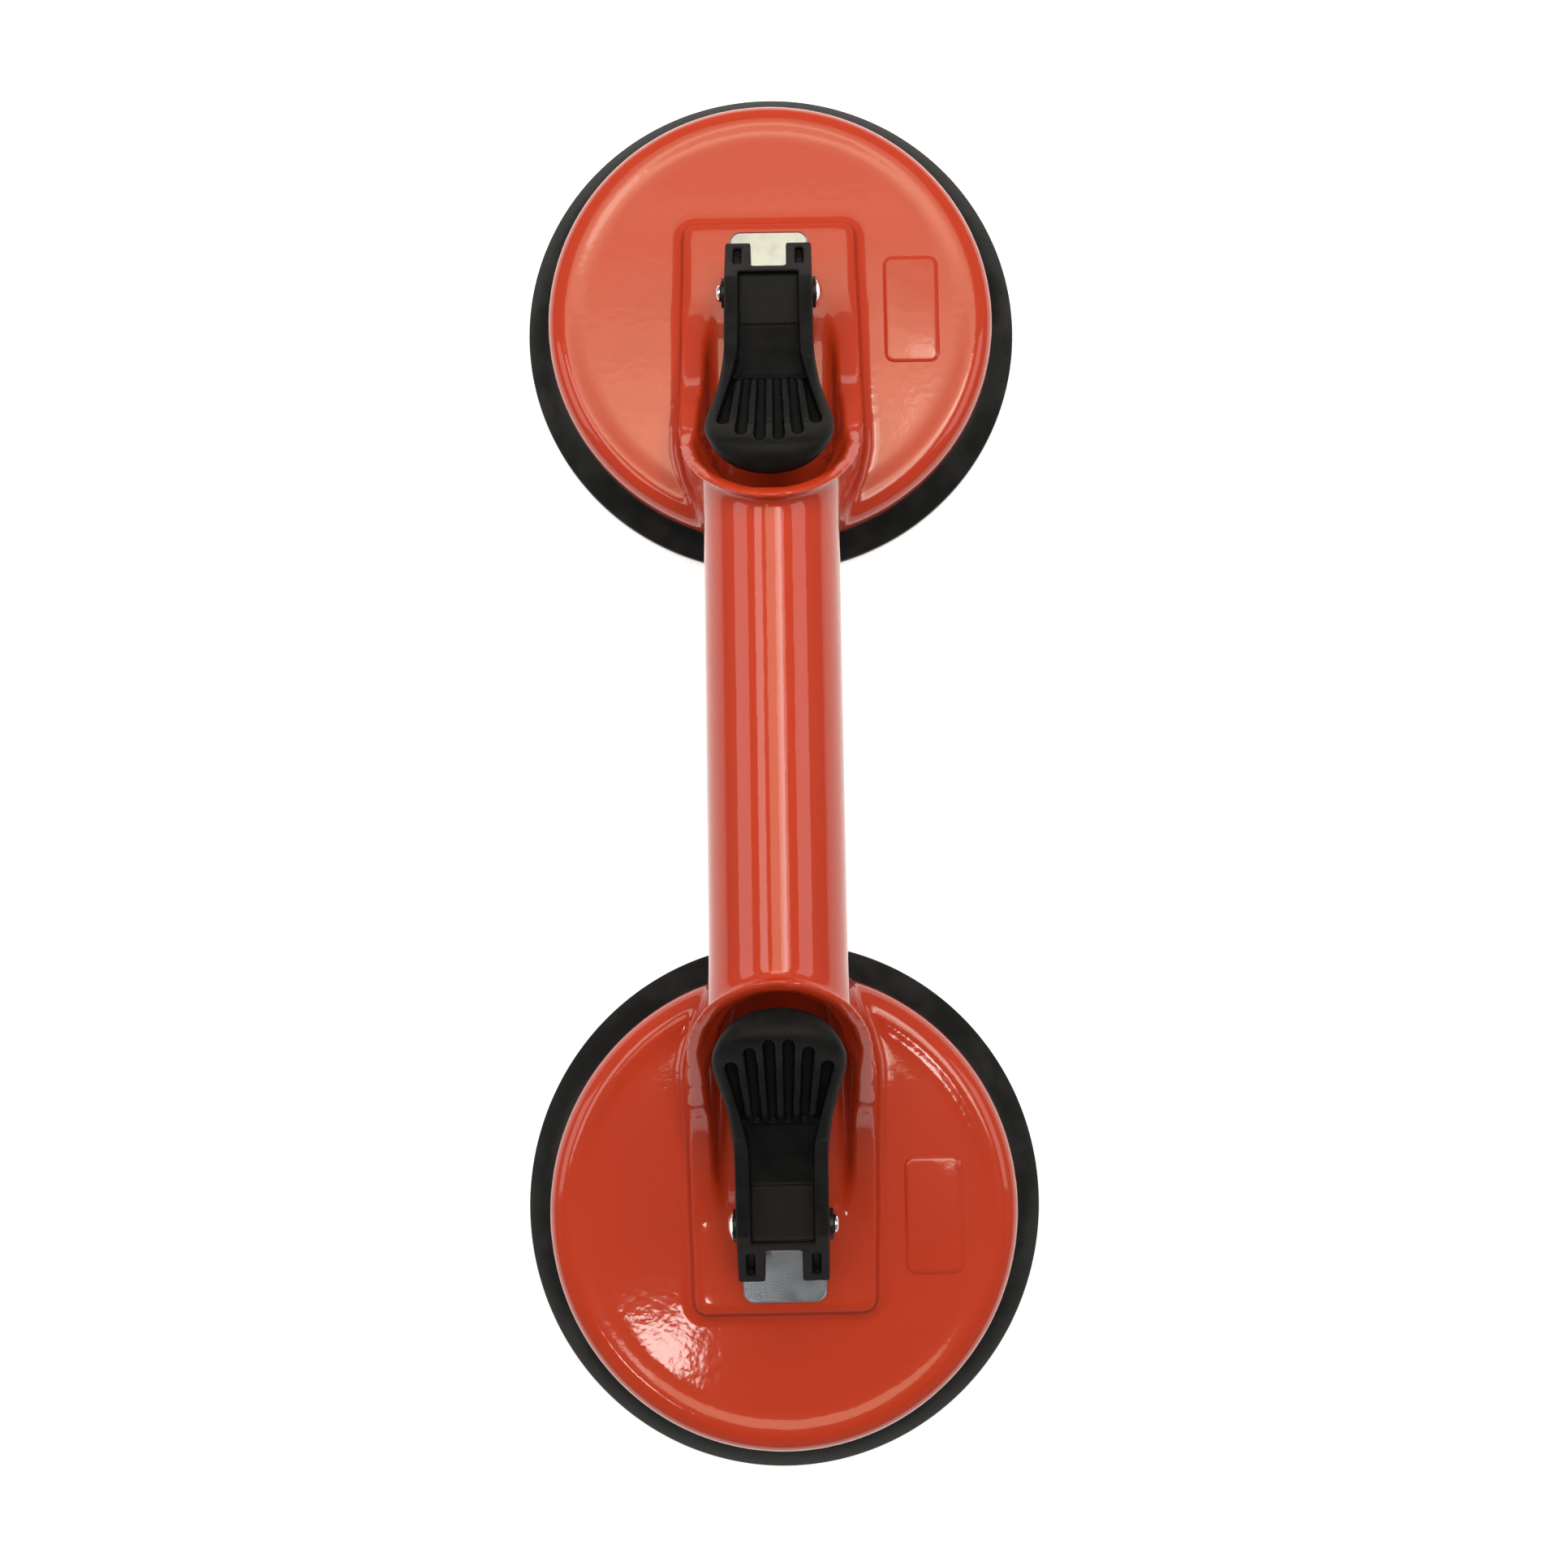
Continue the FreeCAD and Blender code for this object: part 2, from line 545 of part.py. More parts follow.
def make_pin():
    head_face = LEVER_HALF + 2 * SIDE_GAP + WASHER_THICKNESS
    tail_end = -LEVER_HALF - PIN_TAIL
    shank = cylinder_x(PIN_RADIUS, tail_end, head_face, PIN_HEIGHT)
    tail_rim = [edge for edge in shank.Edges if edge.BoundBox.XMax < tail_end + PIN_CHAMFER / 2]
    shank = shank.makeChamfer(PIN_CHAMFER, tail_rim)
    dome_radius = (PIN_HEAD_RADIUS ** 2 + PIN_HEAD_THICKNESS ** 2) / (2 * PIN_HEAD_THICKNESS)
    centre = vec(head_face + PIN_HEAD_THICKNESS - dome_radius, 0, PIN_HEIGHT)
    dome = Part.makeSphere(dome_radius, centre)
    dome = dome.common(cylinder_x(PIN_HEAD_RADIUS, head_face, head_face + PIN_HEAD_THICKNESS, PIN_HEIGHT))
    pin = shank.fuse(dome).removeSplitter()
    return pin.cut(clip_groove())


def clip_span():
    outer = -LEVER_HALF - SIDE_GAP
    return outer - CLIP_THICKNESS, outer


def clip_groove():
    start, end = clip_span()
    ring = cylinder_x(PIN_RADIUS + BURIED, start, end, PIN_HEIGHT)
    return ring.cut(cylinder_x(PIN_GROOVE_RADIUS, start, end, PIN_HEIGHT))


def make_clip():
    start, end = clip_span()
    clip = cylinder_x(CLIP_RADIUS, start, end, PIN_HEIGHT)
    clip = clip.cut(cylinder_x(PIN_GROOVE_RADIUS, start, end, PIN_HEIGHT))
    mouth = Part.makeBox(CLIP_THICKNESS, CLIP_MOUTH, 2 * CLIP_RADIUS,
                         vec(start, -CLIP_MOUTH / 2, PIN_HEIGHT - 2 * CLIP_RADIUS))
    clip = clip.cut(mouth)
    # two round windows leave the prongs that grip the groove
    for way in (-1, 1):
        window = cylinder_x(CLIP_WINDOW_RADIUS, start, end, PIN_HEIGHT)
        window.translate(vec(0, way * CLIP_WINDOW_OFFSET, CLIP_WINDOW_RISE))
        clip = clip.cut(window)
    return clip


def make_washer():
    start = LEVER_HALF + SIDE_GAP
    washer = cylinder_x(WASHER_RADIUS, start, start + WASHER_THICKNESS, PIN_HEIGHT)
    return washer.cut(cylinder_x(PIN_RADIUS + RUNNING_GAP, -FAR, FAR, PIN_HEIGHT))


# Lever

def cam_point(angle):
    # the cam is the envelope of the wear plate seen from the turning lever, an involute
    normal = math.radians(-90 + angle)
    height = CAM_HEIGHT - CAM_SLOPE * math.radians(angle)
    y = height * math.cos(normal) + CAM_SLOPE * math.sin(normal)
    z = height * math.sin(normal) - CAM_SLOPE * math.cos(normal)
    return side(y, PIN_HEIGHT + z)


def lever_point(along, up):
    # a point of the lever's side view, from its shares
    return side(LEVER_TIP * along, PIN_HEIGHT + LEVER_RISE * up)


def lever_profile():
    top = [side(CREASE, PIN_HEIGHT + CREASE_HEIGHT)]
    top += [lever_point(*shares) for shares in TOP_SHARES]
    under = [lever_point(*shares) for shares in UNDER_SHARES]
    above_nose, nose, below_nose = [lever_point(*shares) for shares in NOSE_SHARES]
    cam = [cam_point(LEVER_OPENING * step / 6) for step in range(7)]
    heel_flat = side(-HEEL_FLAT, PLATE_TOP + CAM_GAP)
    slope = math.tan(math.radians(LEVER_OPENING))
    toe_low = side(LEVER_TOE, cam[-1].z + (LEVER_TOE - cam[-1].y) * slope)
    toe_high = side(LEVER_TOE, toe_low.z + TOE_FACE)
    return face_of(
        line(toe_high, top[0]),
        curve(top),
        arc(top[-1], above_nose, nose),
        arc(nose, below_nose, under[0]),
        curve(under),
        arc(under[-1], lever_point(*HEEL_SHARES), heel_flat),
        line(heel_flat, cam[0]),
        curve(cam),
        line(cam[-1], toe_low),
        line(toe_low, toe_high),
    )


def lever_outline(inset, low):
    # plan of the lever, straight over the pivot and spread at the grip
    narrow = LEVER_HALF - inset
    wide = LEVER_GRIP_HALF - inset
    tip = LEVER_TIP + inset
    toe = LEVER_TOE + BURIED
    spread = [vec(narrow + (wide - narrow) * out, LEVER_TIP * along, low)
              for out, along in SPREAD_SHARES]
    mirrored = [vec(-point.x, point.y, low) for point in spread]
    back = vec(0, -1, 0)
    out, along = TIP_ROUND_SHARES
    shoulder = vec(wide * out, tip * along, low)
    nose = vec(0, tip, low)
    return face_of(
        line(vec(-narrow, toe, low), vec(narrow, toe, low)),
        line(vec(narrow, toe, low), spread[0]),
        curve(spread, back, back),
        arc(spread[-1], shoulder, nose),
        arc(nose, vec(-shoulder.x, shoulder.y, low), mirrored[-1]),
        curve(mirrored, back, back),
        line(mirrored[0], vec(-narrow, toe, low)),
    )


def channel_form():
    # the open trough of the lever: it runs from the toe bar over the pivot and up to the ribs
    floor = PIN_HEIGHT + STUD_EYE_RADIUS + MOVING_GAP + FLOOR_THICKNESS
    front = NOTCH_END - BAR_THICKNESS
    points = [lever_point(*shares) for shares in CHANNEL_SHARES]
    profile = polygon([side(front, floor), side(points[0].y, floor), *points,
                       side(points[-1].y, FAR), side(front, FAR)])
    plan = lever_outline(LEVER_WALL, 0)
    return across(profile, FAR).common(upright(plan, 0, FAR))


def groove_form(start_x, end_x, end_y):
    # one groove between two ribs, cut square to the sloping grip, with a round end
    width = RIB_PITCH - RIB_WIDTH
    turn = math.atan2(end_x - start_x, GROOVE_START - end_y)
    length = math.hypot(end_x - start_x, GROOVE_START - end_y)
    slot = Part.makeBox(width, length, FAR, vec(-width / 2, -length, 0))
    slot = slot.fuse(Part.makeCylinder(width / 2, FAR, vec(0, -length, 0)))
    slot.rotate(vec(0, 0, 0), vec(0, 0, 1), math.degrees(turn))
    slot.translate(vec(start_x, GROOVE_START, 0))
    return slot


def grip_grooves():
    low, high = [lever_point(*shares) for shares in GROOVE_FLOOR_SHARES]
    depth = across(polygon([low, high, side(high.y, FAR), side(low.y, FAR)]), FAR)
    grooves = []
    for number in range(RIB_COUNT + 1):
        place = number - RIB_COUNT / 2
        start_x = place * RIB_PITCH
        end_y = GROOVE_END + place * place * GROOVE_BOW
        grooves.append(groove_form(start_x, start_x * GROOVE_FAN, end_y))
    return depth.common(grooves[0].fuse(grooves[1:]))


def stud_clearance():
    # the slot that the stud sweeps through the lever's underside, and the room for its eye
    half = STUD_EYE_WIDTH / 2 + NOTCH_CLEARANCE
    eye = STUD_EYE_RADIUS + MOVING_GAP
    room = cylinder_x(eye, -half, half, PIN_HEIGHT)
    opening = math.radians(LEVER_OPENING)
    swept = (STUD_RADIUS + MOVING_GAP) / math.sin(opening) - NOTCH_END / math.tan(opening)
    back = Part.makeBox(2 * half, eye, PIN_HEIGHT, vec(-half, -eye, 0))
    under_bar = Part.makeBox(2 * half, NOTCH_END, PIN_HEIGHT + swept, vec(-half, 0, 0))
    notch = Part.makeBox(2 * half, FAR, PIN_HEIGHT + FAR, vec(-half, NOTCH_END, 0))
    return room.fuse([back, under_bar, notch])


def core_holes():
    holes = []
    inner = STUD_EYE_WIDTH / 2 + NOTCH_CLEARANCE + CORE_HOLE_INSET
    for low_x in (inner, -inner - CORE_HOLE_WIDTH):
        hole = Part.makeBox(CORE_HOLE_WIDTH, CORE_HOLE_LENGTH, FAR,
                            vec(low_x, NOTCH_END + CORE_HOLE_MARGIN, 0))
        holes.append(hole)
    toe_end = side(LEVER_TOE, PIN_HEIGHT - TOE_DROP)
    crease = side(CREASE, PIN_HEIGHT + CREASE_HEIGHT)
    drop = vec(0, 0, CORE_HOLE_DEPTH)
    above = polygon([toe_end - drop, crease - drop, crease + vec(0, 0, FAR), toe_end + vec(0, 0, FAR)])
    return holes[0].fuse(holes[1]).common(across(above, FAR))


def make_lever():
    lever = across(lever_profile(), FAR).common(upright(lever_outline(0, 0), 0, FAR))
    lever = lever.cut(channel_form())
    lever = lever.cut(grip_grooves())
    lever = lever.cut(stud_clearance())
    lever = lever.cut(core_holes())
    lever = lever.cut(cylinder_x(PIN_RADIUS + RUNNING_GAP, -FAR, FAR, PIN_HEIGHT))
    return lever.removeSplitter()


def write(name, shape):
    solids = shape.Solids
    kept = solids[0] if len(solids) == 1 else Part.Compound(solids)
    kept.exportStep("parts/" + name + ".step")
    print(f"{name:16s} solids {len(solids)} valid {kept.isValid()} volume {kept.Volume:10.1f}")


def main():
    os.makedirs("parts", exist_ok=True)
    write("body_casting", make_body())
    pieces = {
        "rubber_pad": make_pad,
        "pad_insert": make_insert,
        "pull_stud": make_stud,
        "return_spring": make_spring,
        "spring_washer": make_seat_washer,
        "wear_plate": make_plate,
        "pivot_pin": make_pin,
        "pin_clip": make_clip,
        "pin_washer": make_washer,
        "lever": make_lever,
    }
    for name, make in pieces.items():
        shape = make()
        for cup in "ab":
            write(name + "_" + cup, placed(shape, cup))


main()
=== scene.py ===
"""Double-cup vacuum lifter for floor tiles: finishes, modelled surfaces, light and camera.

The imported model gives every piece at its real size. This script dresses those pieces, and models
the painted casting, the rubber pads and the moulded levers again with the soft edges of the real
ones. Meshes are worked out in millimetres and brought to metres when they are placed.
"""

import json
import logging
import math
from dataclasses import dataclass
from enum import Enum
from typing import Callable, Iterable, Sequence

import bmesh
import bpy
from mathutils import Matrix, Vector


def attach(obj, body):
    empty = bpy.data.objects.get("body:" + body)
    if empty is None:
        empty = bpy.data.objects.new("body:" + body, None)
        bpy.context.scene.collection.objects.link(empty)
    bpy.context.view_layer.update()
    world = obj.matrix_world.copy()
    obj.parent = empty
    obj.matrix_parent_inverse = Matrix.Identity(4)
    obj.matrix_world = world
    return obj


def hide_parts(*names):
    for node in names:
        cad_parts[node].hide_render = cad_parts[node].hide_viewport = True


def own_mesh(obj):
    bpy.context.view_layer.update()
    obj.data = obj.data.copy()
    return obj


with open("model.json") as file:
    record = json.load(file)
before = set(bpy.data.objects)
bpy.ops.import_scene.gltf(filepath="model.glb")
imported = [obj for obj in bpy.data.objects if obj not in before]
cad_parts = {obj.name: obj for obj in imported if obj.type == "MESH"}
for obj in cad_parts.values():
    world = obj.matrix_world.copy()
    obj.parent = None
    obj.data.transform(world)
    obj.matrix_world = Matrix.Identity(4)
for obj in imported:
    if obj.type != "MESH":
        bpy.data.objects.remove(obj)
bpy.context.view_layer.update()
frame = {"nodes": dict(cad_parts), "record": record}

MILLIMETRE = 0.001
CUP_SPACING = 210.0
IMAGE_WIDTH = 1932
IMAGE_HEIGHT = 1924
FAR = 80.0
SAME_POINT = 1e-4
SMALL_STEPS = 6
CORNER_STEPS = 8
SWEEP_STEPS = 24

log = logging.getLogger("lifter")

Ring = list[Vector]
Outline = Sequence[tuple[float, float]]


class Cup(Enum):
    """The two cups. Each is the same cup, and the second is turned half a turn about Z."""

    A = "a"
    B = "b"

    @property
    def way(self) -> int:
        """Returns +1 for the cup at +Y and -1 for the cup at -Y."""
        return 1 if self is Cup.A else -1

    def named(self, stem: str) -> str:
        """Returns the name of this cup's copy of a piece."""
        return f"{stem}_{self.value}"

    def place(self) -> Matrix:
        """Works out where the cup goes.

        Returns:
            The transform from the cup's frame in millimetres to the whole one in metres.
        """
        turn = Matrix.Rotation(0.0 if self is Cup.A else math.pi, 4, "Z")
        move = Matrix.Translation((0, self.way * CUP_SPACING / 2, 0))
        return Matrix.Scale(MILLIMETRE, 4) @ move @ turn


class Join(Enum):
    """Ways to put two closed forms together."""

    ADD = "UNION"
    CUT = "DIFFERENCE"
    KEEP_COMMON = "INTERSECT"


class Bench:
    """Makes closed meshes, in millimetres, from a few points."""

    @staticmethod
    def finished(bm: bmesh.types.BMesh, name: str) -> bpy.types.Mesh:
        """Closes a bmesh into a mesh whose faces point outwards.

        Args:
            bm: the form, which is freed.
            name: the name of the mesh.

        Returns:
            The new mesh.
        """
        bmesh.ops.recalc_face_normals(bm, faces=bm.faces)
        mesh = bpy.data.meshes.new(name)
        bm.to_mesh(mesh)
        bm.free()
        return mesh

    @staticmethod
    def turned(section: Outline, steps: int, closed: bool = True) -> bpy.types.Mesh:
        """Spins a half section about the Z axis.

        Args:
            section: radius and height of each point.
            steps: how many divisions a full turn has.
            closed: whether the last point joins the first.

        Returns:
            A closed mesh.
        """
        bm = bmesh.new()
        verts = [bm.verts.new((radius, 0, height)) for radius, height in section]
        edges = [bm.edges.new(pair) for pair in zip(verts, verts[1:])]
        if closed:
            edges.append(bm.edges.new((verts[-1], verts[0])))
        bmesh.ops.spin(bm, geom=verts + edges, axis=(0, 0, 1), cent=(0, 0, 0),
                       angle=2 * math.pi, steps=steps, use_merge=True)
        bmesh.ops.remove_doubles(bm, verts=bm.verts, dist=SAME_POINT)
        bmesh.ops.dissolve_degenerate(bm, edges=bm.edges, dist=SAME_POINT)
        return Bench.finished(bm, "turned")

    @staticmethod
    def lofted(rings: Sequence[Ring]) -> bpy.types.Mesh:
        """Bridges rings of equally many points and closes both ends.

        Args:
            rings: the points of each ring, in the same order round it.

        Returns:
            A closed mesh.
        """
        bm = bmesh.new()
        loops = []
        for ring in rings:
            verts = [bm.verts.new(point) for point in ring]
            loops.append([bm.edges.new(pair) for pair in zip(verts, verts[1:] + verts[:1])])
        for before, after in zip(loops, loops[1:]):
            bmesh.ops.bridge_loops(bm, edges=before + after)
        bmesh.ops.holes_fill(bm, edges=loops[0] + loops[-1], sides=0)
        return Bench.finished(bm, "lofted")

    @staticmethod
    def extruded(outline: Ring, along: Vector) -> bpy.types.Mesh:
        """Extrudes a flat outline, given by its corners, along a vector."""
        return Bench.lofted([outline, [point + along for point in outline]])

    @staticmethod
    def across(profile: Outline, half: float) -> bpy.types.Mesh:
        """Extrudes a side view, given as y and z, to both sides of the plane x = 0."""
        return Bench.extruded([Vector((-half, y, z)) for y, z in profile], Vector((2 * half, 0, 0)))

    @staticmethod
    def upright(plan: Outline, low: float, high: float) -> bpy.types.Mesh:
        """Extrudes a plan, given as x and y, between two heights."""
        return Bench.extruded([Vector((x, y, low)) for x, y in plan], Vector((0, 0, high - low)))

    @staticmethod
    def rod(radius: float, start: Vector, end: Vector, steps: int = 48) -> bpy.types.Mesh:
        """Makes a plain round cutter between two points.

        Args:
            radius: of the rod.
            start: centre of one end.
            end: centre of the other end.
            steps: how many sides it has.

        Returns:
            A closed mesh.
        """
        bm = bmesh.new()
        axis = end - start
        turn = axis.to_track_quat("Z", "Y").to_matrix().to_4x4()
        bmesh.ops.create_cone(bm, cap_ends=True, segments=steps, radius1=radius, radius2=radius,
                              depth=axis.length,
                              matrix=Matrix.Translation((start + end) / 2) @ turn)
        return Bench.finished(bm, "rod")

    @staticmethod
    def split(mesh: bpy.types.Mesh) -> None:
        """Splits four-sided faces along the shorter diagonal, so that each run joins them alike.

        Args:
            mesh: the mesh, which is changed.
        """
        bm = bmesh.new()
        bm.from_mesh(mesh)
        quads = [face for face in bm.faces if len(face.verts) == 4]
        bmesh.ops.triangulate(bm, faces=quads, quad_method="SHORT_EDGE")
        bm.to_mesh(mesh)
        bm.free()

    @staticmethod
    def joined(base: bpy.types.Mesh, steps: Iterable[tuple[Join, bpy.types.Mesh]],
               voxel: float = 0.0, smoothing: int = 0) -> bpy.types.Mesh:
        """Adds and cuts closed forms one after another, and softens the result.

        Args:
            base: the form to start from.
            steps: what is done with each of the other forms.
            voxel: size of the even mesh that the result is laid over with; 0 keeps it as it is.
            smoothing: how many times the even mesh is relaxed, which rounds its edges.

        Returns:
            A new mesh.
        """
        scene = bpy.context.scene
        Bench.split(base)
        work = bpy.data.objects.new("work", base)
        scene.collection.objects.link(work)
        tools = []
        for way, mesh in steps:
            Bench.split(mesh)
            tool = bpy.data.objects.new("tool", mesh)
            scene.collection.objects.link(tool)
            tools.append(tool)
            cut = work.modifiers.new("join", "BOOLEAN")
            cut.operation = way.value
            cut.solver = "EXACT"
            cut.object = tool
        if voxel:
            even = work.modifiers.new("even", "REMESH")
            even.mode = "VOXEL"
            even.voxel_size = voxel
        if smoothing:
            relax = work.modifiers.new("relax", "SMOOTH")
            relax.factor = 0.5
            relax.iterations = smoothing
        graph = bpy.context.evaluated_depsgraph_get()
        result = bpy.data.meshes.new_from_object(work.evaluated_get(graph))
        for used in [work, *tools]:
            bpy.data.objects.remove(used)
        return result

    @staticmethod
    def halved(mesh: bpy.types.Mesh, point: Vector, outward: Vector) -> None:
        """Cuts a tube-like mesh off at a plane and closes the ring-shaped cut.

        Args:
            mesh: the mesh, which is changed.
            point: a point of the plane.
            outward: the side of the plane that is removed.
        """
        bm = bmesh.new()
        bm.from_mesh(mesh)
        geometry = bm.verts[:] + bm.edges[:] + bm.faces[:]
        bmesh.ops.bisect_plane(bm, geom=geometry, plane_co=point, plane_no=outward,
                               clear_outer=True)
        rim = [edge for edge in bm.edges if edge.is_boundary]
        for edge in rim:
            edge.smooth = False
        bmesh.ops.bridge_loops(bm, edges=rim)
        bmesh.ops.recalc_face_normals(bm, faces=bm.faces)
        bm.to_mesh(mesh)
        bm.free()

    @staticmethod
    def piece(name: str, meshes: Sequence[bpy.types.Mesh], place: Matrix,
              finish: bpy.types.Material, smooth: bool = True) -> bpy.types.Object:
        """Puts meshes into the scene as one piece at its place.

        Args:
            name: of the piece.
            meshes: its meshes, in millimetres, which are copied.
            place: from the meshes' frame to the whole one in metres.
            finish: its material.
            smooth: whether its faces are shaded smooth.

        Returns:
            The new object, at the origin.
        """
        bm = bmesh.new()
        for mesh in meshes:
            bm.from_mesh(mesh)
        bmesh.ops.transform(bm, matrix=place, verts=bm.verts)
        for face in bm.faces:
            face.smooth = smooth
            face.material_index = 0
        joined = bpy.data.meshes.new(name)
        bm.to_mesh(joined)
        bm.free()
        joined.materials.clear()
        joined.materials.append(finish)
        made = bpy.data.objects.new(name, joined)
        bpy.context.scene.collection.objects.link(made)
        return made


def arc_points(centre: tuple[float, float], radius: float, start: float, end: float,
               steps: int) -> list[tuple[float, float]]:
    """Returns points along an arc.

    Args:
        centre: of the arc.
        radius: of the arc.
        start: angle of the first point, in degrees.
        end: angle of the last point, in degrees.
        steps: how many pieces the arc is divided into.

    Returns:
        The points, from start to end.
    """
    angles = [math.radians(start + (end - start) * step / steps) for step in range(steps + 1)]
    return [(centre[0] + radius * math.cos(angle), centre[1] + radius * math.sin(angle))
            for angle in angles]


def smooth_path(points: Sequence[tuple[float, ...]], steps: int) -> list[tuple[float, ...]]:
    """Draws a smooth line through points.

    Args:
        points: the points it passes through.
        steps: how many pieces lie between two of them.

    Returns:
        The points of the line.
    """
    ends = [points[0], *points, points[-1]]
    path = []
    for number in range(len(points) - 1):
        before, start, end, after = (Vector(point) for point in ends[number:number + 4])
        for step in range(steps):
            t = step / steps
            path.append(tuple(0.5 * (
                2 * start + (end - before) * t
                + (2 * before - 5 * start + 4 * end - after) * t ** 2
                + (3 * start - before - 3 * end + after) * t ** 3)))
    path.append(tuple(points[-1]))
    return path


class Recipe:
    """A material under construction, with its shader and object coordinates."""

    def __init__(self, name: str) -> None:
        """Starts a material with a principled shader.

        Args:
            name: of the material.
        """
        self.material = bpy.data.materials.new(name)
        self.material.use_nodes = True
        self.tree = self.material.node_tree
        self.tree.nodes.clear()
        self.surface = self.add("ShaderNodeBsdfPrincipled")
        output = self.add("ShaderNodeOutputMaterial")
        self.link(self.surface.outputs["BSDF"], output.inputs["Surface"])
        self.place = self.add("ShaderNodeTexCoord").outputs["Object"]

    def add(self, kind: str, **settings: object) -> bpy.types.Node:
        """Adds a node.

        Args:
            kind: its type.
            settings: properties that are set on it.

        Returns:
            The node.
        """
        node = self.tree.nodes.new(kind)
        for key, value in settings.items():
            setattr(node, key, value)
        return node

    def link(self, source: bpy.types.NodeSocket, target: bpy.types.NodeSocket) -> None:
        """Links an output to an input."""
        self.tree.links.new(source, target)

    def use(self, group: bpy.types.NodeTree, **values: float) -> bpy.types.Node:
        """Places a shared effect, fed with the object coordinates.

        Args:
            group: the node group.
            values: its inputs, with underscores for spaces.

        Returns:
            The group node.
        """
        node = self.add("ShaderNodeGroup", node_tree=group)
        self.link(self.place, node.inputs["Place"])
        for key, value in values.items():
            node.inputs[key.replace("_", " ")].default_value = value
        return node

    def relief(self, height: bpy.types.NodeSocket, depth: float,
               under: bpy.types.NodeSocket | None = None) -> bpy.types.NodeSocket:
        """Turns a height into a normal.

        Args:
            height: from 0 to 1.
            depth: in metres, from the lowest to the highest point.
            under: a normal that it is laid over.

        Returns:
            The normal.
        """
        bump = self.add("ShaderNodeBump")
        bump.inputs["Strength"].default_value = 1.0
        bump.inputs["Distance"].default_value = depth
        self.link(height, bump.inputs["Height"])
        if under is not None:
            self.link(under, bump.inputs["Normal"])
        return bump.outputs["Normal"]

    def ranged(self, value: bpy.types.NodeSocket, low: float,
               high: float) -> bpy.types.NodeSocket:
        """Spreads a value from 0 to 1 over a range.

        Args:
            value: the value.
            low: what 0 becomes.
            high: what 1 becomes.

        Returns:
            The spread value.
        """
        node = self.add("ShaderNodeMapRange")
        self.link(value, node.inputs["Value"])
        node.inputs["To Min"].default_value = low
        node.inputs["To Max"].default_value = high
        return node.outputs["Result"]

    def blended(self, share: bpy.types.NodeSocket, first: tuple[float, ...],
                second: tuple[float, ...]) -> bpy.types.NodeSocket:
        """Mixes two colours.

        Args:
            share: of the second colour.
            first: the colour at 0.
            second: the colour at 1.

        Returns:
            The mixed colour.
        """
        node = self.add("ShaderNodeMix", data_type="RGBA")
        self.link(share, node.inputs["Factor"])
        node.inputs["A"].default_value = (*first, 1.0)
        node.inputs["B"].default_value = (*second, 1.0)
        return node.outputs["Result"]

    def plain(self, **values: float) -> None:
        """Sets plain numbers on the shader's own sockets, named with underscores for spaces."""
        for key, value in values.items():
            self.surface.inputs[key.replace("_", " ")].default_value = value

    def feed(self, socket: str, source: bpy.types.NodeSocket) -> None:
        """Links a source to one of the shader's sockets."""
        self.link(source, self.surface.inputs[socket])


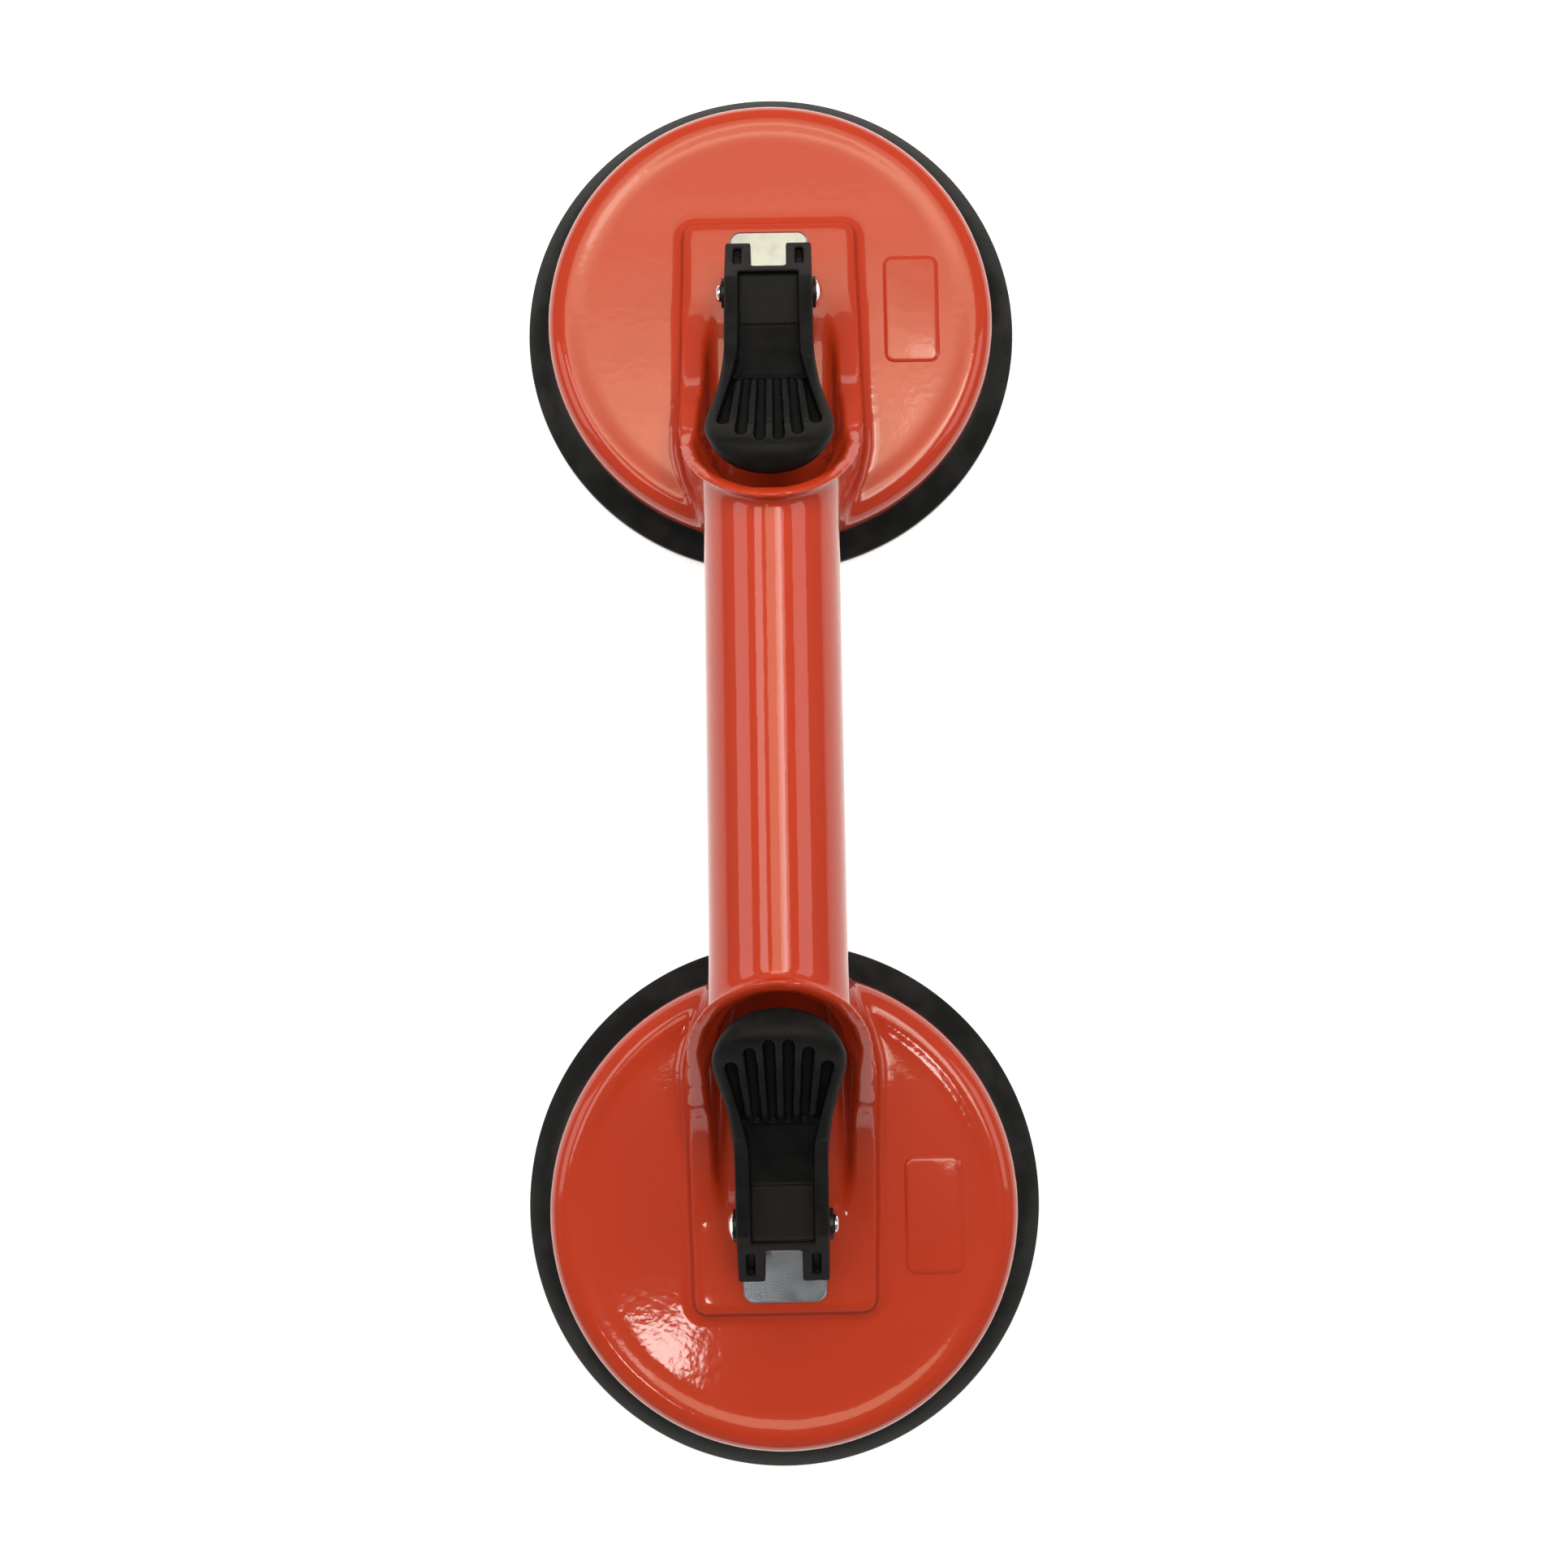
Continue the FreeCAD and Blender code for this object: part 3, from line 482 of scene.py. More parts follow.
class SharedEffects:
    """Node groups that more than one finish uses. They put out values only."""

    def __init__(self) -> None:
        """Builds each group once."""
        self.grain = self._grain()
        self.mottle = self._mottle()
        self.scratches = self._scratches()

    @staticmethod
    def _start(name: str, inputs: dict[str, float],
               output: str) -> tuple[bpy.types.NodeTree, bpy.types.Node, bpy.types.Node]:
        """Opens a node group with a place to read and one value to put out.

        Args:
            name: of the group.
            inputs: names and starting values of its numbers.
            output: the name of what it puts out.

        Returns:
            The group, its input node and its output node.
        """
        tree = bpy.data.node_groups.new(name, "ShaderNodeTree")
        tree.interface.new_socket("Place", in_out="INPUT", socket_type="NodeSocketVector")
        for key, value in inputs.items():
            socket = tree.interface.new_socket(key, in_out="INPUT", socket_type="NodeSocketFloat")
            socket.default_value = value
        tree.interface.new_socket(output, in_out="OUTPUT", socket_type="NodeSocketFloat")
        return tree, tree.nodes.new("NodeGroupInput"), tree.nodes.new("NodeGroupOutput")

    @staticmethod
    def _noise(tree: bpy.types.NodeTree, start: bpy.types.Node, size: str,
               detail: float) -> bpy.types.Node:
        """Adds a noise whose scale is one over a size input, in metres.

        Args:
            tree: the group.
            start: its input node.
            size: the name of the size input.
            detail: of the noise.

        Returns:
            The noise node.
        """
        scale = tree.nodes.new("ShaderNodeMath")
        scale.operation = "DIVIDE"
        scale.inputs[0].default_value = 1.0
        tree.links.new(start.outputs[size], scale.inputs[1])
        noise = tree.nodes.new("ShaderNodeTexNoise")
        noise.inputs["Detail"].default_value = detail
        tree.links.new(start.outputs["Place"], noise.inputs["Vector"])
        tree.links.new(scale.outputs[0], noise.inputs["Scale"])
        return noise

    def _grain(self) -> bpy.types.NodeTree:
        """Makes an even small relief, such as orange peel or a moulded texture.

        Returns:
            The node group.
        """
        tree, start, end = self._start("even_grain", {"Size": 0.001}, "Height")
        noise = self._noise(tree, start, "Size", 2.0)
        tree.links.new(noise.outputs["Fac"], end.inputs["Height"])
        return tree

    def _mottle(self) -> bpy.types.NodeTree:
        """Makes soft patches with a settable share and edge.

        Returns:
            The node group.
        """
        tree, start, end = self._start("soft_mottle", {"Size": 0.02, "Level": 0.5, "Soft": 0.2},
                                       "Mask")
        noise = self._noise(tree, start, "Size", 5.0)
        low = tree.nodes.new("ShaderNodeMath")
        low.operation = "SUBTRACT"
        high = tree.nodes.new("ShaderNodeMath")
        high.operation = "ADD"
        for node in (low, high):
            tree.links.new(start.outputs["Level"], node.inputs[0])
            tree.links.new(start.outputs["Soft"], node.inputs[1])
        band = tree.nodes.new("ShaderNodeMapRange")
        band.interpolation_type = "SMOOTHSTEP"
        tree.links.new(noise.outputs["Fac"], band.inputs["Value"])
        tree.links.new(low.outputs[0], band.inputs["From Min"])
        tree.links.new(high.outputs[0], band.inputs["From Max"])
        tree.links.new(band.outputs["Result"], end.inputs["Mask"])
        return tree

    def _scratches(self) -> bpy.types.NodeTree:
        """Makes fine lines along Y, such as a brushed or rolled metal has.

        Returns:
            The node group.
        """
        tree, start, end = self._start("fine_lines", {"Size": 0.0002, "Length": 40.0}, "Height")
        stretch = tree.nodes.new("ShaderNodeCombineXYZ")
        stretch.inputs["X"].default_value = 1.0
        stretch.inputs["Z"].default_value = 1.0
        shrink = tree.nodes.new("ShaderNodeMath")
        shrink.operation = "DIVIDE"
        shrink.inputs[0].default_value = 1.0
        tree.links.new(start.outputs["Length"], shrink.inputs[1])
        tree.links.new(shrink.outputs[0], stretch.inputs["Y"])
        place = tree.nodes.new("ShaderNodeVectorMath")
        place.operation = "MULTIPLY"
        tree.links.new(start.outputs["Place"], place.inputs[0])
        tree.links.new(stretch.outputs[0], place.inputs[1])
        noise = self._noise(tree, start, "Size", 3.0)
        tree.links.new(place.outputs[0], noise.inputs["Vector"])
        tree.links.new(noise.outputs["Fac"], end.inputs["Height"])
        return tree


@dataclass(frozen=True)
class Enamel:
    """Glossy stoved paint on the casting, with orange peel."""

    tone: tuple[float, float, float] = (0.520, 0.041, 0.010)
    deep: tuple[float, float, float] = (0.460, 0.034, 0.008)
    peel_size: float = 0.0021
    peel_depth: float = 0.000020
    dust_size: float = 0.00045
    dust_depth: float = 0.000002
    smoothest: float = 0.32
    roughest: float = 0.40

    def material(self, effects: SharedEffects) -> bpy.types.Material:
        """Builds the paint.

        Args:
            effects: the shared node groups.

        Returns:
            The material.
        """
        recipe = Recipe("orange_enamel")
        speckle = recipe.use(effects.grain, Size=0.00038)
        recipe.feed("Base Color", recipe.blended(speckle.outputs["Height"], self.tone, self.deep))
        rough = recipe.use(effects.mottle, Size=0.012, Level=0.5, Soft=0.3)
        recipe.feed("Roughness",
                    recipe.ranged(rough.outputs["Mask"], self.smoothest, self.roughest))
        peel = recipe.use(effects.grain, Size=self.peel_size)
        dust = recipe.use(effects.grain, Size=self.dust_size)
        wave = recipe.relief(peel.outputs["Height"], self.peel_depth)
        recipe.feed("Normal", recipe.relief(dust.outputs["Height"], self.dust_depth, wave))
        recipe.feed("Coat Normal", wave)
        recipe.plain(Coat_Weight=0.85, Coat_Roughness=0.055, Coat_IOR=1.5, Specular_IOR_Level=0.12)
        return recipe.material


@dataclass(frozen=True)
class Rubber:
    """Black moulded rubber of the pads."""

    tone: tuple[float, float, float] = (0.0045, 0.0045, 0.0045)
    bloom: tuple[float, float, float] = (0.011, 0.011, 0.011)
    grain_size: float = 0.0006
    grain_depth: float = 0.00002
    smoothest: float = 0.30
    roughest: float = 0.42

    def material(self, effects: SharedEffects) -> bpy.types.Material:
        """Builds the rubber.

        Args:
            effects: the shared node groups.

        Returns:
            The material.
        """
        recipe = Recipe("pad_rubber")
        bloom = recipe.use(effects.mottle, Size=0.009, Level=0.56, Soft=0.14)
        recipe.feed("Base Color", recipe.blended(bloom.outputs["Mask"], self.tone, self.bloom))
        recipe.feed("Roughness",
                    recipe.ranged(bloom.outputs["Mask"], self.smoothest, self.roughest))
        grain = recipe.use(effects.grain, Size=self.grain_size)
        recipe.feed("Normal", recipe.relief(grain.outputs["Height"], self.grain_depth))
        recipe.plain(Specular_IOR_Level=0.25)
        return recipe.material


@dataclass(frozen=True)
class Moulding:
    """Black glass-filled nylon of the levers, with the fine texture of its mould."""

    tone: tuple[float, float, float] = (0.0062, 0.0062, 0.0065)
    worn: tuple[float, float, float] = (0.0105, 0.0105, 0.0110)
    grain_size: float = 0.00042
    grain_depth: float = 0.000022
    smoothest: float = 0.46
    roughest: float = 0.58

    def material(self, effects: SharedEffects) -> bpy.types.Material:
        """Builds the plastic.

        Args:
            effects: the shared node groups.

        Returns:
            The material.
        """
        recipe = Recipe("lever_nylon")
        patches = recipe.use(effects.mottle, Size=0.006, Level=0.52, Soft=0.2)
        recipe.feed("Base Color", recipe.blended(patches.outputs["Mask"], self.tone, self.worn))
        recipe.feed("Roughness",
                    recipe.ranged(patches.outputs["Mask"], self.smoothest, self.roughest))
        grain = recipe.use(effects.grain, Size=self.grain_size)
        recipe.feed("Normal", recipe.relief(grain.outputs["Height"], self.grain_depth))
        recipe.plain(Specular_IOR_Level=0.11)
        return recipe.material


@dataclass(frozen=True)
class Metal:
    """A bare, plated or blackened metal with fine lines from its making."""

    name: str
    tone: tuple[float, float, float]
    dull: tuple[float, float, float]
    smoothest: float
    roughest: float
    line_depth: float
    metallic: float = 1.0

    def material(self, effects: SharedEffects) -> bpy.types.Material:
        """Builds the metal.

        Args:
            effects: the shared node groups.

        Returns:
            The material.
        """
        recipe = Recipe(self.name)
        stain = recipe.use(effects.mottle, Size=0.004, Level=0.5, Soft=0.2)
        recipe.feed("Base Color", recipe.blended(stain.outputs["Mask"], self.tone, self.dull))
        recipe.feed("Roughness",
                    recipe.ranged(stain.outputs["Mask"], self.smoothest, self.roughest))
        lines = recipe.use(effects.scratches, Size=0.00022, Length=30.0)
        recipe.feed("Normal", recipe.relief(lines.outputs["Height"], self.line_depth))
        recipe.plain(Metallic=self.metallic)
        return recipe.material


@dataclass
class Finishes:
    """Every finish of the tool, by the name of the record's slot."""

    effects: SharedEffects

    def __post_init__(self) -> None:
        """Builds the materials."""
        plated = Metal("plated_steel", (0.34, 0.37, 0.41), (0.28, 0.31, 0.35), 0.16, 0.26, 4e-7)
        pin = Metal("pin_steel", (0.86, 0.86, 0.86), (0.74, 0.74, 0.75), 0.10, 0.20, 2e-6)
        black = Metal("black_steel", (0.030, 0.030, 0.032), (0.018, 0.018, 0.020), 0.30, 0.45,
                      3e-6, metallic=0.6)
        self.by_slot = {
            "orange_paint": Enamel().material(self.effects),
            "pad_rubber": Rubber().material(self.effects),
            "lever_plastic": Moulding().material(self.effects),
            "plated_steel": plated.material(self.effects),
            "pin_steel": pin.material(self.effects),
            "black_steel": black.material(self.effects),
        }


@dataclass
class Casting:
    """The painted body: two discs with their lever blocks and hooded lips, and the tube."""

    finish: bpy.types.Material
    disc_radius: float = 54.0
    skirt_bottom: float = 7.0
    skirt_wall: float = 2.8
    pad_face: float = 10.0
    seat_radius: float = 42.0
    recess_top: float = 13.0
    disc_top: float = 16.5
    flat_radius: float = 44.9
    bead_radius: float = 49.6
    bead_rise: float = 0.6
    pocket_radius: float = 8.6
    pocket_top: float = 18.0
    stud_hole: float = 4.3
    platform_top: float = 20.3
    block_toe: float = 22.5
    block_toe_half: float = 20.9
    block_half: float = 22.2
    block_corner: float = 3.0
    block_taper_end: float = -33.0
    arm_start: float = 3.8
    lip_apex: float = -53.7
    lip_slope: float = 49.0
    lip_radius: float = 19.6
    lip_half: float = 20.7
    mouth_radius: float = 16.3
    mouth_flare: float = 0.5
    slot_half: float = 15.1
    slot_round: float = 1.7
    waist: float = -41.5
    waist_base: float = 20.3
    waist_half: float = 15.9
    waist_inside: float = 13.4
    throat_start: float = -36.0
    throat_end: float = -57.0
    throat_rise: float = 17.0
    throat_foot: float = 9.2
    tube_radius: float = 15.1
    tube_wall: float = 2.8
    tube_height: float = 48.5
    gusset_start: float = -52.5
    # how far behind the lip's plane each section stands, and how far it is proud of the tube
    hood_flare: Outline = ((0.0, 4.5), (0.5, 4.5), (1.2, 4.2), (1.9, 3.3), (2.6, 2.0), (3.3, 1.0),
                           (4.2, 0.3), (5.2, 0.0))
    # how far behind the lip's plane each section stands, and its share of the mouth's flare
    mouth_edge: Outline = ((-1.0, 1.2), (0.0, 1.0), (0.8, 0.55), (1.7, 0.2), (3.0, 0.0))
    # where two sections of the throat stand, before and after the waist, and their radii
    throat_back: tuple[float, float] = (-49.0, 12.9)
    throat_front: tuple[float, float] = (-39.0, 14.4)
    label_half_width: float = 6.7
    label_half_length: float = 13.2
    label_corner: float = 2.4
    label_a: tuple[float, float] = (34.1, 106.4)
    label_b: tuple[float, float] = (34.3, -106.7)
    # inset and rise of the plateau's soft edge, from below the disc's top to its own
    label_edge: Outline = ((0.0, -0.5), (0.02, 0.02), (0.16, 0.07), (0.36, 0.19), (0.58, 0.31),
                           (0.82, 0.38), (1.10, 0.40))
    past_middle: float = 10.0
    disc_steps: int = 360
    tube_steps: int = 240
    bore_steps: int = 120
    arch_steps: int = 60
    crown_steps: int = 48
    gusset_steps: int = 16
    voxel: float = 0.68
    smoothing: int = 22
    buried: float = 2.0

    @property
    def lip_top(self) -> float:
        """Returns the height of the crown of the lip."""
        return self.tube_height + self.lip_radius

    def lip_line(self, height: float) -> float:
        """Returns the position of the lip's sloping plane at a height."""
        return self.lip_apex + (self.lip_top - height) / math.tan(math.radians(self.lip_slope))

    def arch(self, y: float, base_half: float, spring_half: float, base: float) -> Ring:
        """Draws an upturned U across the tool.

        Args:
            y: where it stands.
            base_half: half width at its feet.
            spring_half: half width, and radius, at the height of the tube's axis.
            base: height of its feet.

        Returns:
            The ring of points.
        """
        crown = arc_points((0, self.tube_height), spring_half, 180, 0, self.arch_steps)
        return [Vector((-base_half, y, base)), *(Vector((x, y, z)) for x, z in crown),
                Vector((base_half, y, base))]

    def disc(self) -> bpy.types.Mesh:
        """Turns the round cup cover with its raised bead and the hollow for the pad.

        Returns:
            A closed mesh.
        """
        shoulder = self.disc_radius - self.bead_radius
        crest = self.disc_top + self.bead_rise
        half_step = (self.bead_radius - self.flat_radius) / 2
        half_rise = self.bead_rise / 2
        bend = (half_step ** 2 + half_rise ** 2) / (2 * half_rise)
        spread = math.degrees(math.asin(half_step / bend))
        inner_side = self.disc_radius - self.skirt_wall
        section = [
            (0, self.disc_top),
            *arc_points((self.flat_radius, self.disc_top + bend), bend, 270, 270 + spread,
                        CORNER_STEPS),
            *arc_points((self.bead_radius, crest - bend), bend, 90 + spread, 90,
                        CORNER_STEPS)[1:],
            *arc_points((self.bead_radius, crest - shoulder), shoulder, 90, 0, SWEEP_STEPS)[1:],
            (self.disc_radius, self.skirt_bottom), (inner_side, self.skirt_bottom),
            (inner_side, self.pad_face), (self.seat_radius, self.pad_face),
            (self.seat_radius, self.recess_top), (0, self.recess_top),
        ]
        return Bench.turned(section, self.disc_steps, closed=False)

    def arm_profile(self) -> list[tuple[float, float]]:
        """Draws the side view of the platform, the sweep of the arms and the lip's slope.

        Returns:
            The y and z of its corners, in order.
        """
        base = self.disc_top - self.buried
        slope = math.radians(self.lip_slope)
        reach = self.arm_start - self.lip_line(self.platform_top)
        radius = reach / math.tan(slope / 2)
        sweep = arc_points((self.arm_start, self.platform_top + radius), radius,
                           270, 270 - self.lip_slope, SWEEP_STEPS)
        top = self.lip_top + self.buried
        return [(self.block_toe, base), (self.block_toe, self.platform_top), *sweep,
                (self.lip_line(top), top), (-FAR, top), (-FAR, base)]

    def block(self) -> bpy.types.Mesh:
        """Makes the block that carries the lever, with its rounded toe corners.

        Returns:
            A closed mesh.
        """
        base = self.disc_top - self.buried
        taper = self.block_toe_half / self.block_half
        throat = self.arch(self.block_taper_end, self.block_half, self.lip_half, base)
        toe = self.arch(self.block_toe, self.block_toe_half, self.lip_half * taper, base)
        body = Bench.lofted([throat, toe])
        half = self.block_toe_half
        corner = self.block_corner
        start = self.block_toe - corner
        plan = [
            (-FAR, -FAR), (FAR, -FAR), (FAR, start),
            *arc_points((half - corner, start), corner, 0, 90, CORNER_STEPS),
            *arc_points((corner - half, start), corner, 90, 180, CORNER_STEPS),
            (-FAR, start),
        ]
        return Bench.joined(body, [
            (Join.KEEP_COMMON, Bench.across(self.arm_profile(), FAR)),
            (Join.KEEP_COMMON, Bench.upright(plan, 0, FAR)),
        ])

    def neck(self) -> bpy.types.Mesh:
        """Makes the neck between the block and the tube, with the gusset under the tube.

        Returns:
            A closed mesh.
        """
        base = self.disc_top - self.buried
        throat = self.arch(self.block_taper_end, self.block_half, self.lip_half, base)
        waist = self.arch(self.waist, self.waist_base, self.waist_half, base)
        end = self.arch(self.throat_end, self.tube_radius, self.tube_radius, base)
        under_tube = self.tube_height - self.tube_radius
        rise = under_tube - self.disc_top
        back = self.gusset_start - rise
        tail = self.arch(back, self.tube_radius, self.tube_radius, base)
        profile = [(self.block_toe, base), (self.gusset_start, base),
                   *arc_points((back, self.disc_top), rise, 0, 90, self.gusset_steps),
                   (back, self.lip_top), (self.block_toe, self.lip_top)]
        return Bench.joined(Bench.lofted([tail, end, waist, throat]), [
            (Join.KEEP_COMMON, Bench.across(profile, FAR)),
            (Join.KEEP_COMMON, Bench.across(self.arm_profile(), FAR)),
        ])

    def hood(self) -> bpy.types.Mesh:
        """Makes the flared lip, whose sections lean with its sloping plane.

        Returns:
            A closed mesh.
        """
        foot = self.tube_height - self.lip_radius / 2
        rings = []
        for offset, proud in self.hood_flare:
            radius = self.tube_radius + proud
            share = proud / (self.lip_radius - self.tube_radius)
            wider = Matrix.Scale(1 + (self.lip_half / self.lip_radius - 1) * share, 4, (1, 0, 0))
            ring = self.arch(self.lip_apex - offset, radius, radius, foot)
            rings.append([wider @ point for point in self.leaning(ring)])
        return Bench.lofted(rings)

    def mouth(self) -> bpy.types.Mesh:
        """Makes what is taken off the inner edge of the lip to make it round.

        Returns:
            A closed mesh.
        """
        foot = self.tube_height - self.lip_radius / 2
        rings = []
        for offset, share in self.mouth_edge:
            radius = self.mouth_radius + self.mouth_flare * share
            rings.append(self.leaning(
                self.arch(self.lip_apex - offset, self.slot_half, radius, foot)))
        return Bench.lofted(rings)

    def leaning(self, ring: Ring) -> Ring:
        """Leans an upright ring at the lip's apex back along the lip's sloping plane."""
        lean = 1 / math.tan(math.radians(self.lip_slope))
        return [Vector((p.x, p.y + (self.lip_top - p.z) * lean, p.z)) for p in ring]

    def slot(self) -> bpy.types.Mesh:
        """Makes the space between the arms that the lever lies in.

        Returns:
            A closed mesh.
        """
        flat = self.slot_half - self.slot_round
        level = self.platform_top + self.slot_round
        outline = [
            *arc_points((-flat, level), self.slot_round, 180, 270, SMALL_STEPS),
            *arc_points((flat, level), self.slot_round, 270, 360, SMALL_STEPS),
            *arc_points((0, self.tube_height), self.mouth_radius, 0, 180, self.crown_steps),
        ]
        ring = [Vector((x, self.throat_start, z)) for x, z in outline]
        return Bench.extruded(ring, Vector((0, self.block_toe + FAR - self.throat_start, 0)))

    def throat(self) -> bpy.types.Mesh:
        """Makes the space that closes down from the slot to the bore of the tube.

        Returns:
            A closed mesh.
        """
        flat = self.slot_half - self.slot_round
        bore = self.tube_radius - self.tube_wall
        span = self.throat_start - self.throat_end
        sections = ((self.throat_end, bore), self.throat_back, (self.waist, self.waist_inside),
                    self.throat_front, (self.throat_start, self.mouth_radius))
        rings = []
        for y, radius in sections:
            share = (y - self.throat_end) / span
            foot = self.throat_foot + (flat - self.throat_foot) * share
            floor = self.platform_top + self.throat_rise * (1 - share)
            crown = arc_points((0, self.tube_height), radius, 0, 180, self.crown_steps)
            rings.append([Vector((-foot, y, floor)), Vector((foot, y, floor)),
                          *(Vector((x, y, z)) for x, z in crown)])
        return Bench.lofted(rings)

    def label(self, cup: Cup) -> bpy.types.Mesh:
        """Makes the plain raised plateau beside a lever, with its soft edge.

        Args:
            cup: which cup it is on.

        Returns:
            A closed mesh in the frame of the whole tool, in millimetres.
        """
        centre = Vector((*(self.label_a if cup is Cup.A else self.label_b), 0))
        corner = self.label_corner
        rings = []
        for inset, rise in self.label_edge:
            plan = []
            for x_way, y_way, start in ((1, 1, 0), (-1, 1, 90), (-1, -1, 180), (1, -1, 270)):
                middle = (x_way * (self.label_half_width - corner),
                          y_way * (self.label_half_length - corner))
                plan += arc_points(middle, corner - inset, start, start + 90, CORNER_STEPS)
            rings.append([Vector((x, y, self.disc_top + rise)) + centre for x, y in plan])
        return Bench.lofted(rings)

    def cup_mesh(self) -> bpy.types.Mesh:
        """Joins one cup's half of the casting and cuts it off square in the middle of the tube.

        Returns:
            The mesh, in the cup's own frame and in millimetres.
        """
        bore = self.tube_radius - self.tube_wall
        middle = -CUP_SPACING / 2
        past = middle - self.past_middle
        height = self.tube_height
        tube = Bench.rod(self.tube_radius, Vector((0, past, height)),
                         Vector((0, self.throat_end, height)), self.tube_steps)
        bore_rod = Bench.rod(bore, Vector((0, past - self.buried, height)),
                             Vector((0, self.throat_end + self.buried, height)), self.bore_steps)
        pocket = Bench.rod(self.pocket_radius, Vector((0, 0, self.pad_face)),
                           Vector((0, 0, self.pocket_top)))
        stud = Bench.rod(self.stud_hole, Vector((0, 0, self.pad_face)), Vector((0, 0, FAR)))
        mesh = Bench.joined(self.disc(), [
            (Join.ADD, self.block()), (Join.ADD, self.neck()), (Join.ADD, self.hood()),
            (Join.ADD, tube), (Join.CUT, self.slot()), (Join.CUT, self.throat()),
            (Join.CUT, self.mouth()), (Join.CUT, bore_rod), (Join.CUT, pocket),
            (Join.CUT, stud),
        ], self.voxel, self.smoothing)
        Bench.halved(mesh, Vector((0, middle, 0)), Vector((0, -1, 0)))
        return mesh

    def build(self) -> list[bpy.types.Object]:
        """Places the two halves of the casting on the frame body.

        Returns:
            The two pieces.
        """
        mesh = self.cup_mesh()
        pieces = []
        for cup in Cup:
            label = self.label(cup)
            label.transform(cup.place().inverted() @ Matrix.Scale(MILLIMETRE, 4))
            piece = Bench.piece(cup.named("casting"), [mesh, label], cup.place(), self.finish)
            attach(piece, "frame")
            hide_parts("body_casting")
            pieces.append(piece)
        return pieces


@dataclass
class Pad:
    """A rubber pad: the rim that shows outside the disc, and the middle that the stud draws up."""

    finish: bpy.types.Material
    cup: Cup
    radius: float = 60.0
    height: float = 10.0
    dish: float = 3.5
    lip_width: float = 4.5
    lip_rise: float = 1.0
    edge_height: float = 2.6
    edge_round: float = 0.8
    neck_radius: float = 50.9
    split_radius: float = 40.0
    disc_radius: float = 54.0
    skirt_bottom: float = 7.0
    insert_radius: float = 24.0
    # the edge's upper corner: its radius, and its centre out from the foot and below the edge
    nose: float = 0.6
    nose_out: float = 0.2
    nose_drop: float = 0.4
    nose_turn: float = 55.0
    # the flank past the disc's radius, then points from that radius and the skirt's bottom
    flank_out: float = 3.0
    flank_height: float = 4.9
    tuck: Outline = ((0.5, -0.45), (-0.4, -0.05))
    skirt_gap: float = 0.05
    foot_steps: int = 5
    nose_steps: int = 4
    rim_steps: int = 256
    middle_steps: int = 128
    kept: float = 0.75

    def under(self, radius: float) -> float:
        """Works out the height of the pad's hollow underside.

        Args:
            radius: distance from the cup's axis, inside the lip.

        Returns:
            The height in millimetres.
        """
        foot = self.radius - self.edge_round - self.lip_width - self.lip_rise
        share = (foot - max(radius, self.insert_radius)) / (foot - self.insert_radius)
        return self.lip_rise + (self.dish - self.lip_rise) * share

    def rim(self) -> bpy.types.Mesh:
        """Turns the outer ring with its sealing lip.

        Returns:
            A closed mesh.
        """
        foot = self.radius - self.edge_round
        lip = foot - self.lip_width
        round_off = self.edge_round
        section = [
            (self.split_radius, self.under(self.split_radius)),
            (lip - self.lip_rise, self.lip_rise), (lip, 0.0),
            *arc_points((foot, round_off), round_off, 270, 360, self.foot_steps),
            *arc_points((foot + self.nose_out, self.edge_height - self.nose_drop), self.nose,
                        0, self.nose_turn, self.nose_steps),
            (self.disc_radius + self.flank_out, self.flank_height),
            *((self.disc_radius + out, self.skirt_bottom + up) for out, up in self.tuck),
            (self.neck_radius, self.skirt_bottom - self.skirt_gap),
            (self.neck_radius, self.height), (self.split_radius, self.height),
        ]
        return Bench.turned(section, self.rim_steps)

    def middle(self) -> bpy.types.Mesh:
        """Turns the inner part, which sinks when the lever is opened.

        Returns:
            A closed mesh.
        """
        section = [(0.0, self.dish), (self.insert_radius, self.dish),
                   (self.split_radius, self.under(self.split_radius)),
                   (self.split_radius, self.height), (0.0, self.height)]
        return Bench.turned(section, self.middle_steps, closed=False)

    def build(self) -> list[bpy.types.Object]:
        """Places the two pieces of the pad on the frame body.

        Returns:
            The two pieces.
        """
        rim = Bench.piece(self.cup.named("pad_rim"), [self.rim()], self.cup.place(), self.finish)
        middle = Bench.piece(self.cup.named("pad_middle"), [self.middle()], self.cup.place(),
                             self.finish, smooth=False)
        for piece in (rim, middle):
            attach(piece, "frame")
            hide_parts(self.cup.named("rubber_pad"))
        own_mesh(middle)
        return [rim, middle]


